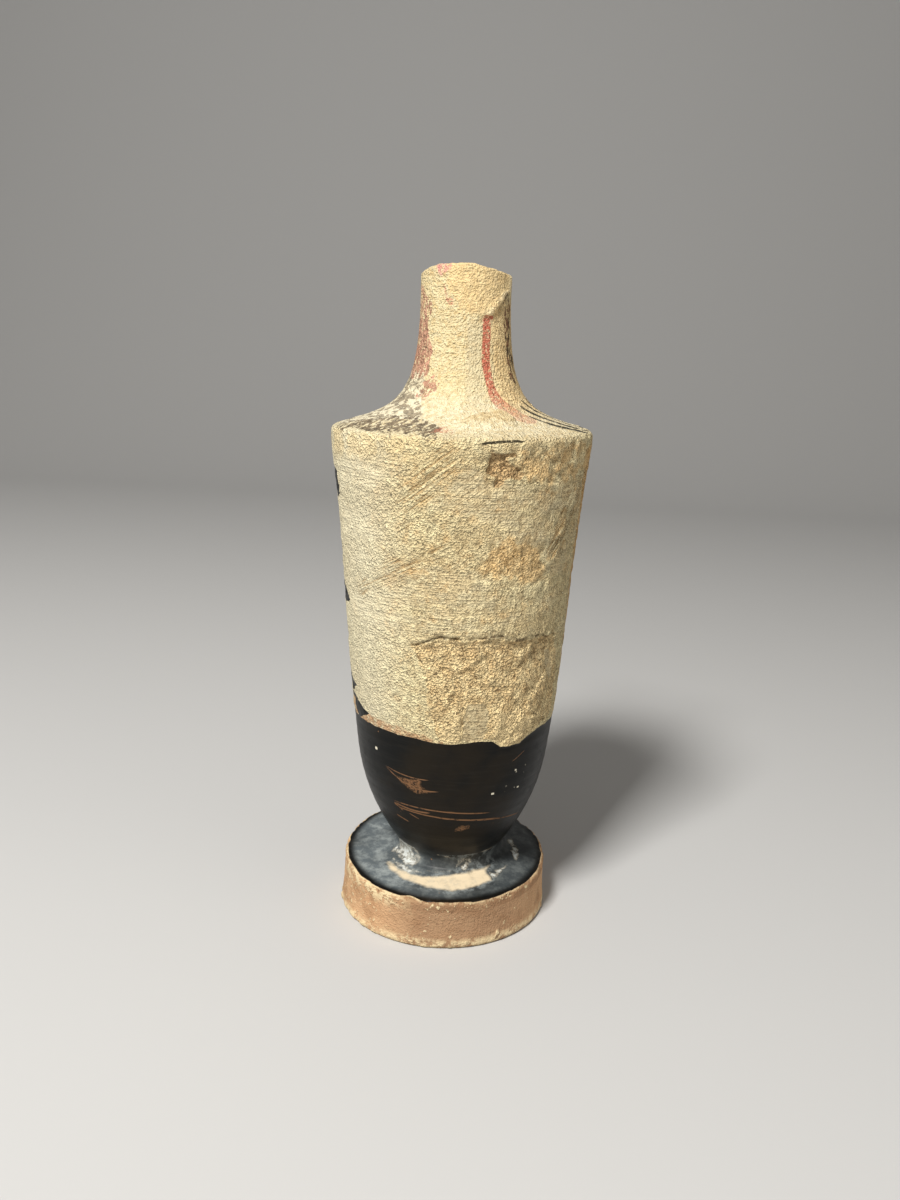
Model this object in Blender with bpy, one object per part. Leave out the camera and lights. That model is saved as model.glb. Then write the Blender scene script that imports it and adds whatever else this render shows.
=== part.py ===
"""A small lekythos, a Greek oil flask of fired clay, with its mouth and handle broken away.

The vessel is one solid, thrown and fired as one. One path runs from the middle of the underside,
out over the foot, up the outside, over the break and down the inside to the middle of the floor.
Every point of the path becomes a ring of points around the pot, and neighbouring rings are joined
by faces. The body was set on its foot a little off centre and leaning, so each ring is centred on
the pot's own axis. Scars and chips push the points in or out along the path's normal.

Lengths are in metres, +Z is up, and the origin is on the ground under the middle of the shoulder.
Angles are in degrees around the pot, from the worn side (-Y) towards +X.
"""

import math

import bmesh
import bpy

MM = 0.001

# Foot: a thick disc, hollowed a little underneath.
FOOT_BASE_RADIUS = 26.0 * MM
FOOT_TOP_RADIUS = 25.5 * MM
FOOT_SIDE_HEIGHT = 13.2 * MM
FOOT_SIDE_HOLLOW = 0.25 * MM
FOOT_EDGE_ROUNDING = 1.1 * MM
FOOT_RECESS_RADIUS = 16.5 * MM
FOOT_RECESS_DEPTH = 2.6 * MM
FOOT_RECESS_SLOPE = 3.5 * MM
FOOT_TOP_RISE = 1.6 * MM

# The foot is a little out of round, and thicker at the back than in front.
FOOT_OVAL = 0.5 * MM
FOOT_OVAL_ANGLE = 135
FOOT_TOP_TILT = 1.4 * MM
FOOT_TOP_TILT_ANGLE = 190
FOOT_TILT_FADE = 12.0 * MM

# Stem and lower body.
STEM_RADIUS = 11.4 * MM
STEM_FILLET = 1.3 * MM
STEM_FLARE = 0.85
BOWL_HEIGHT = 28.4 * MM
BOWL_RADIUS = 23.7 * MM
BOWL_FLARE = 0.125

# Upper body, whose wall widens to the shoulder's edge.
BODY_HEIGHT = 74.4 * MM
SHOULDER_RADIUS = 30.3 * MM
SHOULDER_FLARE = 0.142
SHOULDER_ROUNDING = 1.5 * MM

# Shoulder and neck: one hollow curve from the shoulder's edge up to the neck.
SHOULDER_SLOPE = 16.5
SHOULDER_REACH = 13.4 * MM
NECK_RADIUS = 10.2 * MM
NECK_CURVE_HEIGHT = 29.0 * MM
NECK_CURVE_REACH = 25.0 * MM
NECK_STUMP_HEIGHT = 6.3 * MM

# Thickness of the walls and of the floor above the stem.
BODY_WALL = 3.8 * MM
SHOULDER_WALL = 4.2 * MM
NECK_WALL = 3.5 * MM
FLOOR_THICKNESS = 6.0 * MM
FLOOR_ROUNDING = 6.0 * MM

# How the body sits on its foot: off its middle towards +X, and leaning over towards -X.
BODY_OFFSET = 1.0 * MM
BODY_LEAN = 1.08

# The break across the neck, lower at both sides and at the back than in front.
BREAK_SIDE_DROP = 1.5 * MM
BREAK_SIDE_ANGLE = 82
BREAK_SIDE_WIDTH = 45
BREAK_BACK_DROP = 0.9 * MM
BREAK_BACK_WIDTH = 60
BREAK_ROUNDING = 0.6 * MM
BREAK_HOLLOW = 0.2 * MM

# Scars of the lost handle: a proud patch on the neck and a low mound on the shoulder.
HANDLE_ANGLE = 22
NECK_SCAR_HALF_WIDTH = 52
NECK_SCAR_LENGTH = 12.0 * MM
NECK_SCAR_HEIGHT = 0.6 * MM
NECK_SCAR_EDGE = 2.0 * MM
SHOULDER_SCAR_ANGLE = 15
SHOULDER_SCAR_HALF_WIDTH = 18
SHOULDER_SCAR_HALF_LENGTH = 4.7 * MM
SHOULDER_SCAR_RADIUS = 20.2 * MM
SHOULDER_SCAR_HEIGHT = 0.7 * MM

# A chip just under the shoulder's edge.
CHIP_ANGLE = 17
CHIP_HALF_WIDTH = 11
CHIP_HALF_HEIGHT = 5.3 * MM
CHIP_BELOW_EDGE = 4.2 * MM
CHIP_DEPTH = 0.7 * MM

# The rough patch low on the front, sunk under the crack at its top and proud at its lower end.
# Its crack and its lower end are measured up from the stem.
PATCH_ANGLE = 20
PATCH_HALF_WIDTH = 38
PATCH_NARROWING = 10
PATCH_SIDE_EDGE = 8
PATCH_CRACK_HEIGHT = 61.3 * MM
PATCH_END_HEIGHT = 35.5 * MM
PATCH_SINK = 0.7 * MM
PATCH_RISE = 0.5 * MM
PATCH_EDGE = 1.6 * MM

# The black glaze ends this far above the stem.
GLAZE_HEIGHT = 36.7 * MM

# Points around each ring, and how far apart the rings lie on each stretch of the path.
SIDES = 60
BOWL_RING_SPACING = 4.8 * MM
BODY_RING_SPACING = 4.8 * MM
INSIDE_RING_SPACING = 10.0 * MM
FOOT_TOP_RINGS = 3
SHOULDER_RINGS = 10
CEILING_RINGS = 7
FLOOR_RINGS = 4

# The three surfaces of the pot.
SLIP, GLAZE, CLAY = 0, 1, 2

# Heights that follow from the sizes above.
STEM_Z = FOOT_SIDE_HEIGHT + FOOT_TOP_RISE
BOWL_Z = STEM_Z + BOWL_HEIGHT
SHOULDER_Z = BOWL_Z + BODY_HEIGHT
SHOULDER_TOP_Z = SHOULDER_Z + SHOULDER_ROUNDING * (1 + math.cos(math.radians(SHOULDER_SLOPE)))
NECK_Z = SHOULDER_TOP_Z + NECK_CURVE_HEIGHT
BREAK_Z = NECK_Z + NECK_STUMP_HEIGHT
FLOOR_Z = STEM_Z + FLOOR_THICKNESS
GLAZE_Z = STEM_Z + GLAZE_HEIGHT
PATCH_END_Z = STEM_Z + PATCH_END_HEIGHT
PATCH_CRACK_Z = STEM_Z + PATCH_CRACK_HEIGHT

# The stem stands where the lean brings the middle of the shoulder over the origin.
STEM_X = (SHOULDER_Z - STEM_Z) * math.sin(math.radians(BODY_LEAN))
FOOT_X = STEM_X - BODY_OFFSET


def smooth_step(value):
    """0 below 0, 1 above 1, and a smooth climb between them."""
    t = min(max(value, 0.0), 1.0)
    return t * t * (3 - 2 * t)


def bump(distance, half_width):
    """1 at a distance of 0, falling smoothly to 0 at the half width."""
    return 1 - smooth_step(abs(distance) / half_width)


def turn_between(angle, other):
    """The shorter turn from one angle to another, in degrees."""
    return (angle - other + 180) % 360 - 180


def hermite(t, start, end, start_slope, end_slope, length):
    """A cubic from start to end over a length, leaving and arriving at the given slopes."""
    spread = (3 * t * t - 2 * t**3) * (end - start)
    bend = (t**3 - 2 * t * t + t) * start_slope + (t**3 - t * t) * end_slope
    return start + spread + length * bend


def arc(radius, height, rounding, first, last, steps):
    """Points along a quarter or less of a circle about (radius, height), angles in degrees."""
    turns = [math.radians(first + (last - first) * k / steps) for k in range(steps + 1)]
    return [(radius + rounding * math.cos(a), height + rounding * math.sin(a)) for a in turns]


def spaced(marks, spacing):
    """Heights from the lowest mark up to the highest, one at each mark, none further apart."""
    marks = sorted(set(marks))
    heights = []
    for low, high in zip(marks, marks[1:]):
        parts = math.ceil((high - low) / spacing)
        heights += [low + (high - low) * k / parts for k in range(parts)]
    return heights


def wall_radius(height):
    """Outer radius of the bowl and the body at a height between the stem and the shoulder."""
    if height < BOWL_Z:
        t = (height - STEM_Z) / BOWL_HEIGHT
        return hermite(t, STEM_RADIUS, BOWL_RADIUS, STEM_FLARE, BOWL_FLARE, BOWL_HEIGHT)
    t = (height - BOWL_Z) / BODY_HEIGHT
    return hermite(t, BOWL_RADIUS, SHOULDER_RADIUS, BOWL_FLARE, SHOULDER_FLARE, BODY_HEIGHT)


def shoulder_curve(t, thickness):
    """The curve from the shoulder's edge (t = 0) to the neck (t = 1), a thickness under its face."""
    slope = math.radians(SHOULDER_SLOPE)
    start = (
        SHOULDER_RADIUS - SHOULDER_ROUNDING * (1 - math.sin(slope)),
        SHOULDER_TOP_Z,
    )
    leave = (
        start[0] - SHOULDER_REACH * math.cos(slope),
        start[1] + SHOULDER_REACH * math.sin(slope),
    )
    arrive = (NECK_RADIUS, NECK_Z - NECK_CURVE_REACH)
    end = (NECK_RADIUS, NECK_Z)
    s = 1 - t
    weights = (s**3, 3 * s * s * t, 3 * s * t * t, t**3)
    rates = (-3 * s * s, 3 * s * s - 6 * s * t, 6 * s * t - 3 * t * t, 3 * t * t)
    points = (start, leave, arrive, end)
    radius, height = (sum(w * p[i] for w, p in zip(weights, points)) for i in (0, 1))
    along_r, along_z = (sum(w * p[i] for w, p in zip(rates, points)) for i in (0, 1))
    length = math.hypot(along_r, along_z)
    return radius - thickness * along_z / length, height + thickness * along_r / length


def shoulder_thickness(t):
    """The wall thins from the shoulder to the neck."""
    return SHOULDER_WALL + (NECK_WALL - SHOULDER_WALL) * t


def foot_side_path():
    """The recess under the foot, the ring that it stands on, and its side up to the top edge."""
    recess_flat = FOOT_RECESS_RADIUS - FOOT_RECESS_SLOPE
    r = FOOT_EDGE_ROUNDING
    path = [
        (0, FOOT_RECESS_DEPTH),
        (recess_flat / 2, FOOT_RECESS_DEPTH),
        (recess_flat, FOOT_RECESS_DEPTH),
        (FOOT_RECESS_RADIUS, 0),
    ]
    path += arc(FOOT_BASE_RADIUS - r, r, r, -90, 0, 2)
    path.append(((FOOT_BASE_RADIUS + FOOT_TOP_RADIUS) / 2 - FOOT_SIDE_HOLLOW, FOOT_SIDE_HEIGHT / 2))
    return path + arc(FOOT_TOP_RADIUS - r, FOOT_SIDE_HEIGHT - r, r, 0, 45, 1)


def foot_top_path():
    """The foot's gently rising top, and the fillet where the stem meets it."""
    edge = (FOOT_TOP_RADIUS - FOOT_EDGE_ROUNDING, FOOT_SIDE_HEIGHT)
    corner = (STEM_RADIUS, STEM_Z)
    share = 1 - STEM_FILLET / (edge[0] - corner[0])
    steps = [share * k / FOOT_TOP_RINGS for k in range(FOOT_TOP_RINGS + 1)]
    path = [(edge[0] + (corner[0] - edge[0]) * t, edge[1] + (corner[1] - edge[1]) * t) for t in steps]
    above = (wall_radius(STEM_Z + STEM_FILLET), STEM_Z + STEM_FILLET)
    fillet = [(path[-1][i] + 2 * corner[i] + above[i]) / 4 for i in (0, 1)]
    return path + [tuple(fillet), above]


def wall_path():
    """Outside of the bowl and the body, with a ring along each edge of the patch and the glaze."""
    bowl = spaced([STEM_Z, BOWL_Z], BOWL_RING_SPACING)[1:]
    patch_end = [PATCH_END_Z - PATCH_EDGE, PATCH_END_Z]
    patch_crack = [PATCH_CRACK_Z - PATCH_EDGE / 2, PATCH_CRACK_Z + PATCH_EDGE / 2]
    body = spaced([BOWL_Z, *patch_end, GLAZE_Z, *patch_crack, SHOULDER_Z], BODY_RING_SPACING)
    return [(wall_radius(z), z) for z in bowl + body]


def shoulder_path():
    """The rounded shoulder edge, the curve above it, and the neck up to the rim of its break."""
    r = SHOULDER_ROUNDING
    lowest = -math.degrees(math.atan(SHOULDER_FLARE))
    path = arc(SHOULDER_RADIUS - r, SHOULDER_Z + r, r, lowest, 90 - SHOULDER_SLOPE, 3)[:-1]
    path += [shoulder_curve(k / SHOULDER_RINGS, 0) for k in range(SHOULDER_RINGS + 1)]
    return path + arc(NECK_RADIUS - BREAK_ROUNDING, BREAK_Z - BREAK_ROUNDING, BREAK_ROUNDING, 0, 90, 1)


def break_path():
    """Across the break, a little hollow, to its inner rim."""
    r = BREAK_ROUNDING
    bore = NECK_RADIUS - NECK_WALL
    return [((NECK_RADIUS + bore) / 2, BREAK_Z - BREAK_HOLLOW)] + arc(bore + r, BREAK_Z - r, r, 90, 180, 1)


def ceiling_end():
    """Where along the shoulder's curve its underside meets the inner wall, found by halving."""
    low, high = 0.0, 1.0
    for _ in range(30):
        t = (low + high) / 2
        radius, height = shoulder_curve(t, shoulder_thickness(t))
        outside = radius > wall_radius(min(height, SHOULDER_Z)) - BODY_WALL
        low, high = (t, high) if outside else (low, t)
    return high


def inside_path():
    """The bore, the underside of the shoulder, the inner wall and the bowl-shaped floor."""
    steps = [1 + (ceiling_end() - 1) * k / CEILING_RINGS for k in range(CEILING_RINGS + 1)]
    path = [shoulder_curve(t, shoulder_thickness(t)) for t in steps]
    wall_end = FLOOR_Z + FLOOR_ROUNDING
    inner_wall = spaced([wall_end, path[-1][1]], INSIDE_RING_SPACING)
    path += [(wall_radius(z) - BODY_WALL, z) for z in reversed(inner_wall)]
    edge = wall_radius(wall_end) - BODY_WALL
    turns = [math.radians(90 * k / FLOOR_RINGS) for k in range(1, FLOOR_RINGS)]
    path += [(edge * math.cos(a), wall_end - FLOOR_ROUNDING * math.sin(a)) for a in turns]
    return path + [(0, FLOOR_Z)]


def body_share(height):
    """0 on the foot, 1 on the body, and in between over the foot's top."""
    return min(max((height - FOOT_SIDE_HEIGHT) / FOOT_TOP_RISE, 0.0), 1.0)


def set_on_foot(x, y, z, share):
    """A point of the upright pot, moved off centre and leant over the stem towards -X."""
    lean = math.radians(BODY_LEAN) * share
    up = z - STEM_Z
    across = x * math.cos(lean) - up * math.sin(lean) + FOOT_X + (STEM_X - FOOT_X) * share
    return across, y, STEM_Z + x * math.sin(lean) + up * math.cos(lean)


def out_of_round(angle, radius, share):
    """The foot's oval, growing with the radius and gone on the body."""
    swing = math.cos(math.radians(2 * (angle - FOOT_OVAL_ANGLE)))
    return FOOT_OVAL * swing * radius / FOOT_BASE_RADIUS * (1 - share)


def foot_tilt(angle, radius, height):
    """Lift of the foot's outer face: none where it stands, full at its top, gone in the bowl."""
    swing = math.cos(math.radians(angle - FOOT_TOP_TILT_ANGLE))
    climb = smooth_step((height - FOOT_EDGE_ROUNDING) / (FOOT_SIDE_HEIGHT - FOOT_EDGE_ROUNDING))
    fade = 1 - smooth_step((height - STEM_Z) / FOOT_TILT_FADE)
    return FOOT_TOP_TILT * swing * radius / FOOT_TOP_RADIUS * climb * fade


def break_drop(angle):
    """How far the break lies under its highest point at an angle."""
    sides = bump(abs(turn_between(angle, 0)) - BREAK_SIDE_ANGLE, BREAK_SIDE_WIDTH)
    back = bump(turn_between(angle, 180), BREAK_BACK_WIDTH)
    return BREAK_SIDE_DROP * sides + BREAK_BACK_DROP * back


def neck_scar(angle, height):
    """A tongue hanging from the break, proud of the neck, its lower end rounded."""
    across = min(abs(turn_between(angle, HANDLE_ANGLE)) / NECK_SCAR_HALF_WIDTH, 1.0)
    end = BREAK_Z - NECK_SCAR_LENGTH * math.sqrt(1 - across * across)
    return NECK_SCAR_HEIGHT * smooth_step((height - end) / NECK_SCAR_EDGE)


def shoulder_scar(angle, radius, height):
    """A low oval mound on the shoulder."""
    if height < SHOULDER_TOP_Z:
        return 0.0
    across = turn_between(angle, SHOULDER_SCAR_ANGLE) / SHOULDER_SCAR_HALF_WIDTH
    along = (radius - SHOULDER_SCAR_RADIUS) / SHOULDER_SCAR_HALF_LENGTH
    return SHOULDER_SCAR_HEIGHT * bump(math.hypot(across, along), 1)


def chip(angle, height):
    """A shallow scoop under the shoulder's edge."""
    across = turn_between(angle, CHIP_ANGLE) / CHIP_HALF_WIDTH
    along = (height - SHOULDER_Z + CHIP_BELOW_EDGE) / CHIP_HALF_HEIGHT
    return -CHIP_DEPTH * bump(math.hypot(across, along), 1)


def patch(angle, height):
    """Sunk under the crack, turning proud towards its lower end, and gone outside its outline."""
    share = (height - PATCH_END_Z) / (PATCH_CRACK_Z - PATCH_END_Z)
    half_width = PATCH_HALF_WIDTH - PATCH_NARROWING * (1 - share)
    inside = smooth_step((half_width - abs(turn_between(angle, PATCH_ANGLE))) / PATCH_SIDE_EDGE)
    inside *= smooth_step((height - PATCH_END_Z + PATCH_EDGE) / PATCH_EDGE)
    inside *= smooth_step((PATCH_CRACK_Z + PATCH_EDGE / 2 - height) / PATCH_EDGE)
    return inside * (PATCH_RISE - (PATCH_RISE + PATCH_SINK) * smooth_step(share))


def relief(angle, radius, height):
    """How far the outer face stands out (or, negative, is cut in) at a place on the pot."""
    scars = neck_scar(angle, height) + shoulder_scar(angle, radius, height)
    return scars + chip(angle, height) + patch(angle, height)


def normals_of(path):
    """Unit normals of the path, pointing out of the clay, from the points before and after."""
    result = []
    for k in range(len(path)):
        before, after = path[max(k - 1, 0)], path[min(k + 1, len(path) - 1)]
        dr, dz = after[0] - before[0], after[1] - before[1]
        length = math.hypot(dr, dz)
        result.append((dz / length, -dr / length))
    return result


def ring_points(radius, height, normal, outer):
    """One ring: the path's point turned about the axis, with relief and the uneven break.

    On the neck's stump relief pushes level, so that a scar doesn't lift the rim.
    """
    if height > NECK_Z:
        normal = (1, 0)
    share = body_share(height)
    points = []
    for k in range(SIDES):
        angle = 360 * k / SIDES
        out = relief(angle, radius, height) if outer else 0.0
        r = radius + out * normal[0] + out_of_round(angle, radius, share)
        z = height + out * normal[1] + (foot_tilt(angle, radius, height) if outer else 0.0)
        z -= break_drop(angle) * smooth_step((height - NECK_Z) / (NECK_STUMP_HEIGHT / 2))
        turn = math.radians(angle)
        points.append(set_on_foot(r * math.sin(turn), -r * math.cos(turn), z, share))
    return points


def clay_material(name, colour, roughness):
    """A matt or glossy fired surface of one colour."""
    material = bpy.data.materials.new(name)
    material.use_nodes = True
    surface = material.node_tree.nodes["Principled BSDF"]
    surface.inputs["Base Color"].default_value = (*colour, 1)
    surface.inputs["Roughness"].default_value = roughness
    surface.inputs["Metallic"].default_value = 0
    return material


def add_materials(mesh):
    """The pot's surfaces in the order of SLIP, GLAZE and CLAY."""
    mesh.materials.append(clay_material("cream slip", (0.68, 0.56, 0.34), 0.85))
    mesh.materials.append(clay_material("black glaze", (0.014, 0.014, 0.014), 0.25))
    mesh.materials.append(clay_material("bare clay", (0.46, 0.29, 0.17), 0.8))


def build_lekythos():
    """Joins the rings of the whole path into one closed solid."""
    foot_side = foot_side_path()
    coated = foot_top_path() + wall_path() + shoulder_path()
    outside = foot_side + coated
    path = outside + break_path() + inside_path()
    coats = [CLAY] * len(foot_side) + [GLAZE if height < GLAZE_Z else SLIP for _, height in coated[:-1]]
    coats += [CLAY] * (len(path) - len(coats))
    normals = normals_of(path)
    build = bmesh.new()
    first, last = (
        build.verts.new(set_on_foot(radius, 0, height, body_share(height)))
        for radius, height in (path[0], path[-1])
    )
    rings = []
    for k in range(1, len(path) - 1):
        points = ring_points(*path[k], normals[k], k < len(outside))
        rings.append([build.verts.new(point) for point in points])
    for side in range(SIDES):
        after = (side + 1) % SIDES
        build.faces.new((first, rings[0][after], rings[0][side])).material_index = CLAY
        build.faces.new((last, rings[-1][side], rings[-1][after])).material_index = CLAY
        for low, high, coat in zip(rings, rings[1:], coats[1:]):
            face = build.faces.new((low[side], low[after], high[after], high[side]))
            face.material_index = coat
    mesh = bpy.data.meshes.new("lekythos")
    build.to_mesh(mesh)
    build.free()
    add_materials(mesh)
    mesh.shade_smooth()
    mesh.set_sharp_from_angle(angle=math.radians(40))
    lekythos = bpy.data.objects.new("lekythos", mesh)
    bpy.context.scene.collection.objects.link(lekythos)


for old in list(bpy.data.objects):
    bpy.data.objects.remove(old, do_unlink=True)
build_lekythos()
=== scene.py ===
# %% [markdown]
# # A small lekythos, finished for rendering
#
# A lekythos is an oil flask: a disc foot, a tapering body, a flat shoulder and a narrow neck. This one
# is of fired clay under a cream slip, with a black glaze round its foot end. Its mouth and handle are
# lost, and most of its painting has worn away.
#
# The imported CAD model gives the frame: where the pot stands, how high it is and how it leans. Here its
# plain solid is replaced by one dense closed mesh that follows the same lines and carries the chips,
# scars and rough clay, and then a painted surface is laid over that mesh with shader nodes.

# %% The frame
import math

import bpy
import numpy as np
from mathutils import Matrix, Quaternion


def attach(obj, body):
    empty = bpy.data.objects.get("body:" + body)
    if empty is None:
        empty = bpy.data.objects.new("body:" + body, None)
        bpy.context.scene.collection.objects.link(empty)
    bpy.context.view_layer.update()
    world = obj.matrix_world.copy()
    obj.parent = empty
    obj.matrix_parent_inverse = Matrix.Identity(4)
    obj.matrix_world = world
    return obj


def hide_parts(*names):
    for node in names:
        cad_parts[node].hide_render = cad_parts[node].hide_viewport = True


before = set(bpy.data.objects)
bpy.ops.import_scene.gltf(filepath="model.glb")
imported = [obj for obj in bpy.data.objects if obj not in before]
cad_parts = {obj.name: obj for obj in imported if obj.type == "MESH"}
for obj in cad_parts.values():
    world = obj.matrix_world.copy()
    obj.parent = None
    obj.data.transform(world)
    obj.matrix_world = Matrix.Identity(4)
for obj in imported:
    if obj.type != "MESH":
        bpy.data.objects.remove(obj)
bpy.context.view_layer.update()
scene = bpy.context.scene

# %% [markdown]
# ## The sizes of the pot
#
# They are the CAD's own, in millimetres, so that the detailed surface lies where the solid lies. Only the
# fillet between stem and foot is softer here. Places around the pot are given as an angle in degrees from
# the worn side, which faces the camera (-Y), towards +X. A height is measured on the upright pot, before
# its body is leant over. FINISH_JOIN is the height at which the two outer materials meet.

# %% Sizes in millimetres
FOOT_BASE_RADIUS, FOOT_TOP_RADIUS, FOOT_SIDE_HEIGHT = 26.0, 25.5, 13.2
FOOT_SIDE_HOLLOW, FOOT_EDGE_ROUNDING = 0.25, 1.1
FOOT_RECESS_RADIUS, FOOT_RECESS_DEPTH, FOOT_RECESS_SLOPE = 16.5, 2.6, 3.5
FOOT_TOP_RISE = 1.6
FOOT_OVAL, FOOT_OVAL_ANGLE = 0.5, 135
FOOT_TOP_TILT, FOOT_TOP_TILT_ANGLE, FOOT_TILT_FADE = 1.4, 190, 12.0
STEM_RADIUS, STEM_FILLET, STEM_FLARE = 11.4, 5.0, 0.85
BOWL_HEIGHT, BOWL_RADIUS, BOWL_FLARE = 28.4, 23.7, 0.125
BODY_HEIGHT, SHOULDER_RADIUS, SHOULDER_FLARE, SHOULDER_ROUNDING = 74.4, 30.3, 0.142, 1.5
SHOULDER_SLOPE, SHOULDER_REACH = math.radians(16.5), 13.4
NECK_RADIUS, NECK_CURVE_HEIGHT, NECK_CURVE_REACH, NECK_STUMP_HEIGHT = 10.2, 29.0, 25.0, 6.3
BODY_WALL, SHOULDER_WALL, NECK_WALL = 3.8, 4.2, 3.5
FLOOR_THICKNESS, FLOOR_ROUNDING = 6.0, 6.0
BODY_OFFSET, BODY_LEAN = 1.0, math.radians(1.08)
BREAK_ROUNDING, BREAK_HOLLOW = 0.6, 0.2
MILLIMETRE = 0.001
FINISH_JOIN = 48.5

STEM_Z = FOOT_SIDE_HEIGHT + FOOT_TOP_RISE
BOWL_Z = STEM_Z + BOWL_HEIGHT
SHOULDER_Z = BOWL_Z + BODY_HEIGHT
SHOULDER_TOP_Z = SHOULDER_Z + SHOULDER_ROUNDING * (1 + math.cos(SHOULDER_SLOPE))
NECK_Z = SHOULDER_TOP_Z + NECK_CURVE_HEIGHT
BREAK_Z = NECK_Z + NECK_STUMP_HEIGHT
FLOOR_Z = STEM_Z + FLOOR_THICKNESS
STEM_X = (SHOULDER_Z - STEM_Z) * math.sin(BODY_LEAN)
FOOT_X = STEM_X - BODY_OFFSET
print(f"upright pot: shoulder at {SHOULDER_Z:.1f} mm, break at {BREAK_Z:.1f} mm")


# %% [markdown]
# ## The profile
#
# A thrown pot is a profile turned round an axis. Here the profile runs in one path from the middle of
# the underside, out over the foot, up the outside, over the break and down the inside to the floor, so
# the mesh closes on itself and its walls have their true thickness. It could be a curve object with a
# Screw modifier. Working it out as arrays lets every ring be moved in and out on its own afterwards.


# %% Curves of the profile
def smooth_step(value):
    """0 below 0, 1 above 1, and a smooth climb between them: 3t² - 2t³."""
    t = np.clip(value, 0, 1)
    return t * t * (3 - 2 * t)


def hermite(t, start, end, start_slope, end_slope, length):
    """A cubic from start to end over a length, leaving and arriving at the given slopes."""
    spread = (3 * t**2 - 2 * t**3) * (end - start)
    bend = (t**3 - 2 * t**2 + t) * start_slope + (t**3 - t**2) * end_slope
    return start + spread + length * bend


def wall_radius(height):
    """Outer radius of the bowl and, above it, of the body: two cubics that meet at the same slope."""
    t = (height - STEM_Z) / BOWL_HEIGHT
    bowl = hermite(t, STEM_RADIUS, BOWL_RADIUS, STEM_FLARE, BOWL_FLARE, BOWL_HEIGHT)
    t = (height - BOWL_Z) / BODY_HEIGHT
    body = hermite(t, BOWL_RADIUS, SHOULDER_RADIUS, BOWL_FLARE, SHOULDER_FLARE, BODY_HEIGHT)
    return np.where(height < BOWL_Z, bowl, body)


def shoulder_curve(t, thickness):
    """A Bezier curve from the shoulder's edge (t = 0) to the neck (t = 1), a thickness under its face."""
    edge = np.array([SHOULDER_RADIUS - SHOULDER_ROUNDING * (1 - math.sin(SHOULDER_SLOPE)), SHOULDER_TOP_Z])
    leave = edge + SHOULDER_REACH * np.array([-math.cos(SHOULDER_SLOPE), math.sin(SHOULDER_SLOPE)])
    points = np.array([edge, leave, (NECK_RADIUS, NECK_Z - NECK_CURVE_REACH), (NECK_RADIUS, NECK_Z)])
    s = 1 - t
    radius, height = points.T @ np.array([s**3, 3 * s * s * t, 3 * s * t * t, t**3])
    rates = np.array([-3 * s * s, 3 * s * s - 6 * s * t, 6 * s * t - 3 * t * t, 3 * t * t])
    along_r, along_z = points.T @ rates
    length = np.hypot(along_r, along_z)
    return radius - thickness * along_z / length, height + thickness * along_r / length


def arc(radius, height, rounding, first, last):
    """Part of a circle about (radius, height), from the first angle to the last, in degrees."""
    turn = np.radians(np.linspace(first, last, 30))
    return radius + rounding * np.cos(turn), height + rounding * np.sin(turn)


def evenly(stretch, spacing):
    """Points at equal steps along a stretch of the profile, none further apart than the spacing."""
    radius, height = (np.asarray(values, float) for values in stretch)
    along = np.concatenate([[0], np.cumsum(np.hypot(np.diff(radius), np.diff(height)))])
    steps = np.linspace(0, along[-1], max(math.ceil(along[-1] / spacing), 1) + 1)
    return np.stack([np.interp(steps, along, radius), np.interp(steps, along, height)], axis=1)


# %% The whole profile, with closer rings where the surface is rougher
def foot_stretches():
    """The recess, the ring the pot stands on, the side, and the top up to the stem, with spacings."""
    recess_flat = FOOT_RECESS_RADIUS - FOOT_RECESS_SLOPE
    slope = np.linspace(0, 1, 20)
    recess = recess_flat + FOOT_RECESS_SLOPE * slope, FOOT_RECESS_DEPTH * (1 - smooth_step(slope))
    edge = FOOT_EDGE_ROUNDING
    up = np.linspace(0, 1, 30)
    taper = (FOOT_TOP_RADIUS - FOOT_BASE_RADIUS) * up
    side_radius = FOOT_BASE_RADIUS + taper - FOOT_SIDE_HOLLOW * 4 * up * (1 - up)
    side = side_radius, edge + (FOOT_SIDE_HEIGHT - 2 * edge) * up
    rim = np.array([FOOT_TOP_RADIUS - edge, FOOT_SIDE_HEIGHT])
    corner = np.array([STEM_RADIUS, STEM_Z])
    fillet_start = corner + (rim - corner) * STEM_FILLET / (rim[0] - corner[0])
    fillet_end = np.array([wall_radius(STEM_Z + STEM_FILLET), STEM_Z + STEM_FILLET])
    t = np.linspace(0, 1, 12)[:, None]
    fillet = (1 - t) ** 2 * fillet_start + 2 * t * (1 - t) * corner + t**2 * fillet_end
    return [
        (([0, recess_flat], [FOOT_RECESS_DEPTH] * 2), 3.4),
        (recess, 1.2),
        (([FOOT_RECESS_RADIUS, FOOT_BASE_RADIUS - edge], [0, 0]), 1.7),
        (arc(FOOT_BASE_RADIUS - edge, edge, edge, -90, 0), 0.5),
        (side, 0.72),
        (arc(FOOT_TOP_RADIUS - edge, FOOT_SIDE_HEIGHT - edge, edge, 0, 90), 0.35),
        (np.stack([rim, fillet_start], axis=1), 0.62),
        (fillet.T, 0.5),
    ]


def wall_stretches():
    """The bowl and the body in bands, each with its own spacing, finest along the patch's crack."""
    marks = [STEM_Z + STEM_FILLET, FINISH_JOIN, 54.0, 72.8, 78.4, 109.0, SHOULDER_Z]
    spacings = [0.85, 0.42, 0.6, 0.32, 0.6, 0.46]
    stretches = []
    for low, high, spacing in zip(marks, marks[1:], spacings):
        height = np.linspace(low, high, 60)
        stretches.append(((wall_radius(height), height), spacing))
    return stretches


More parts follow.
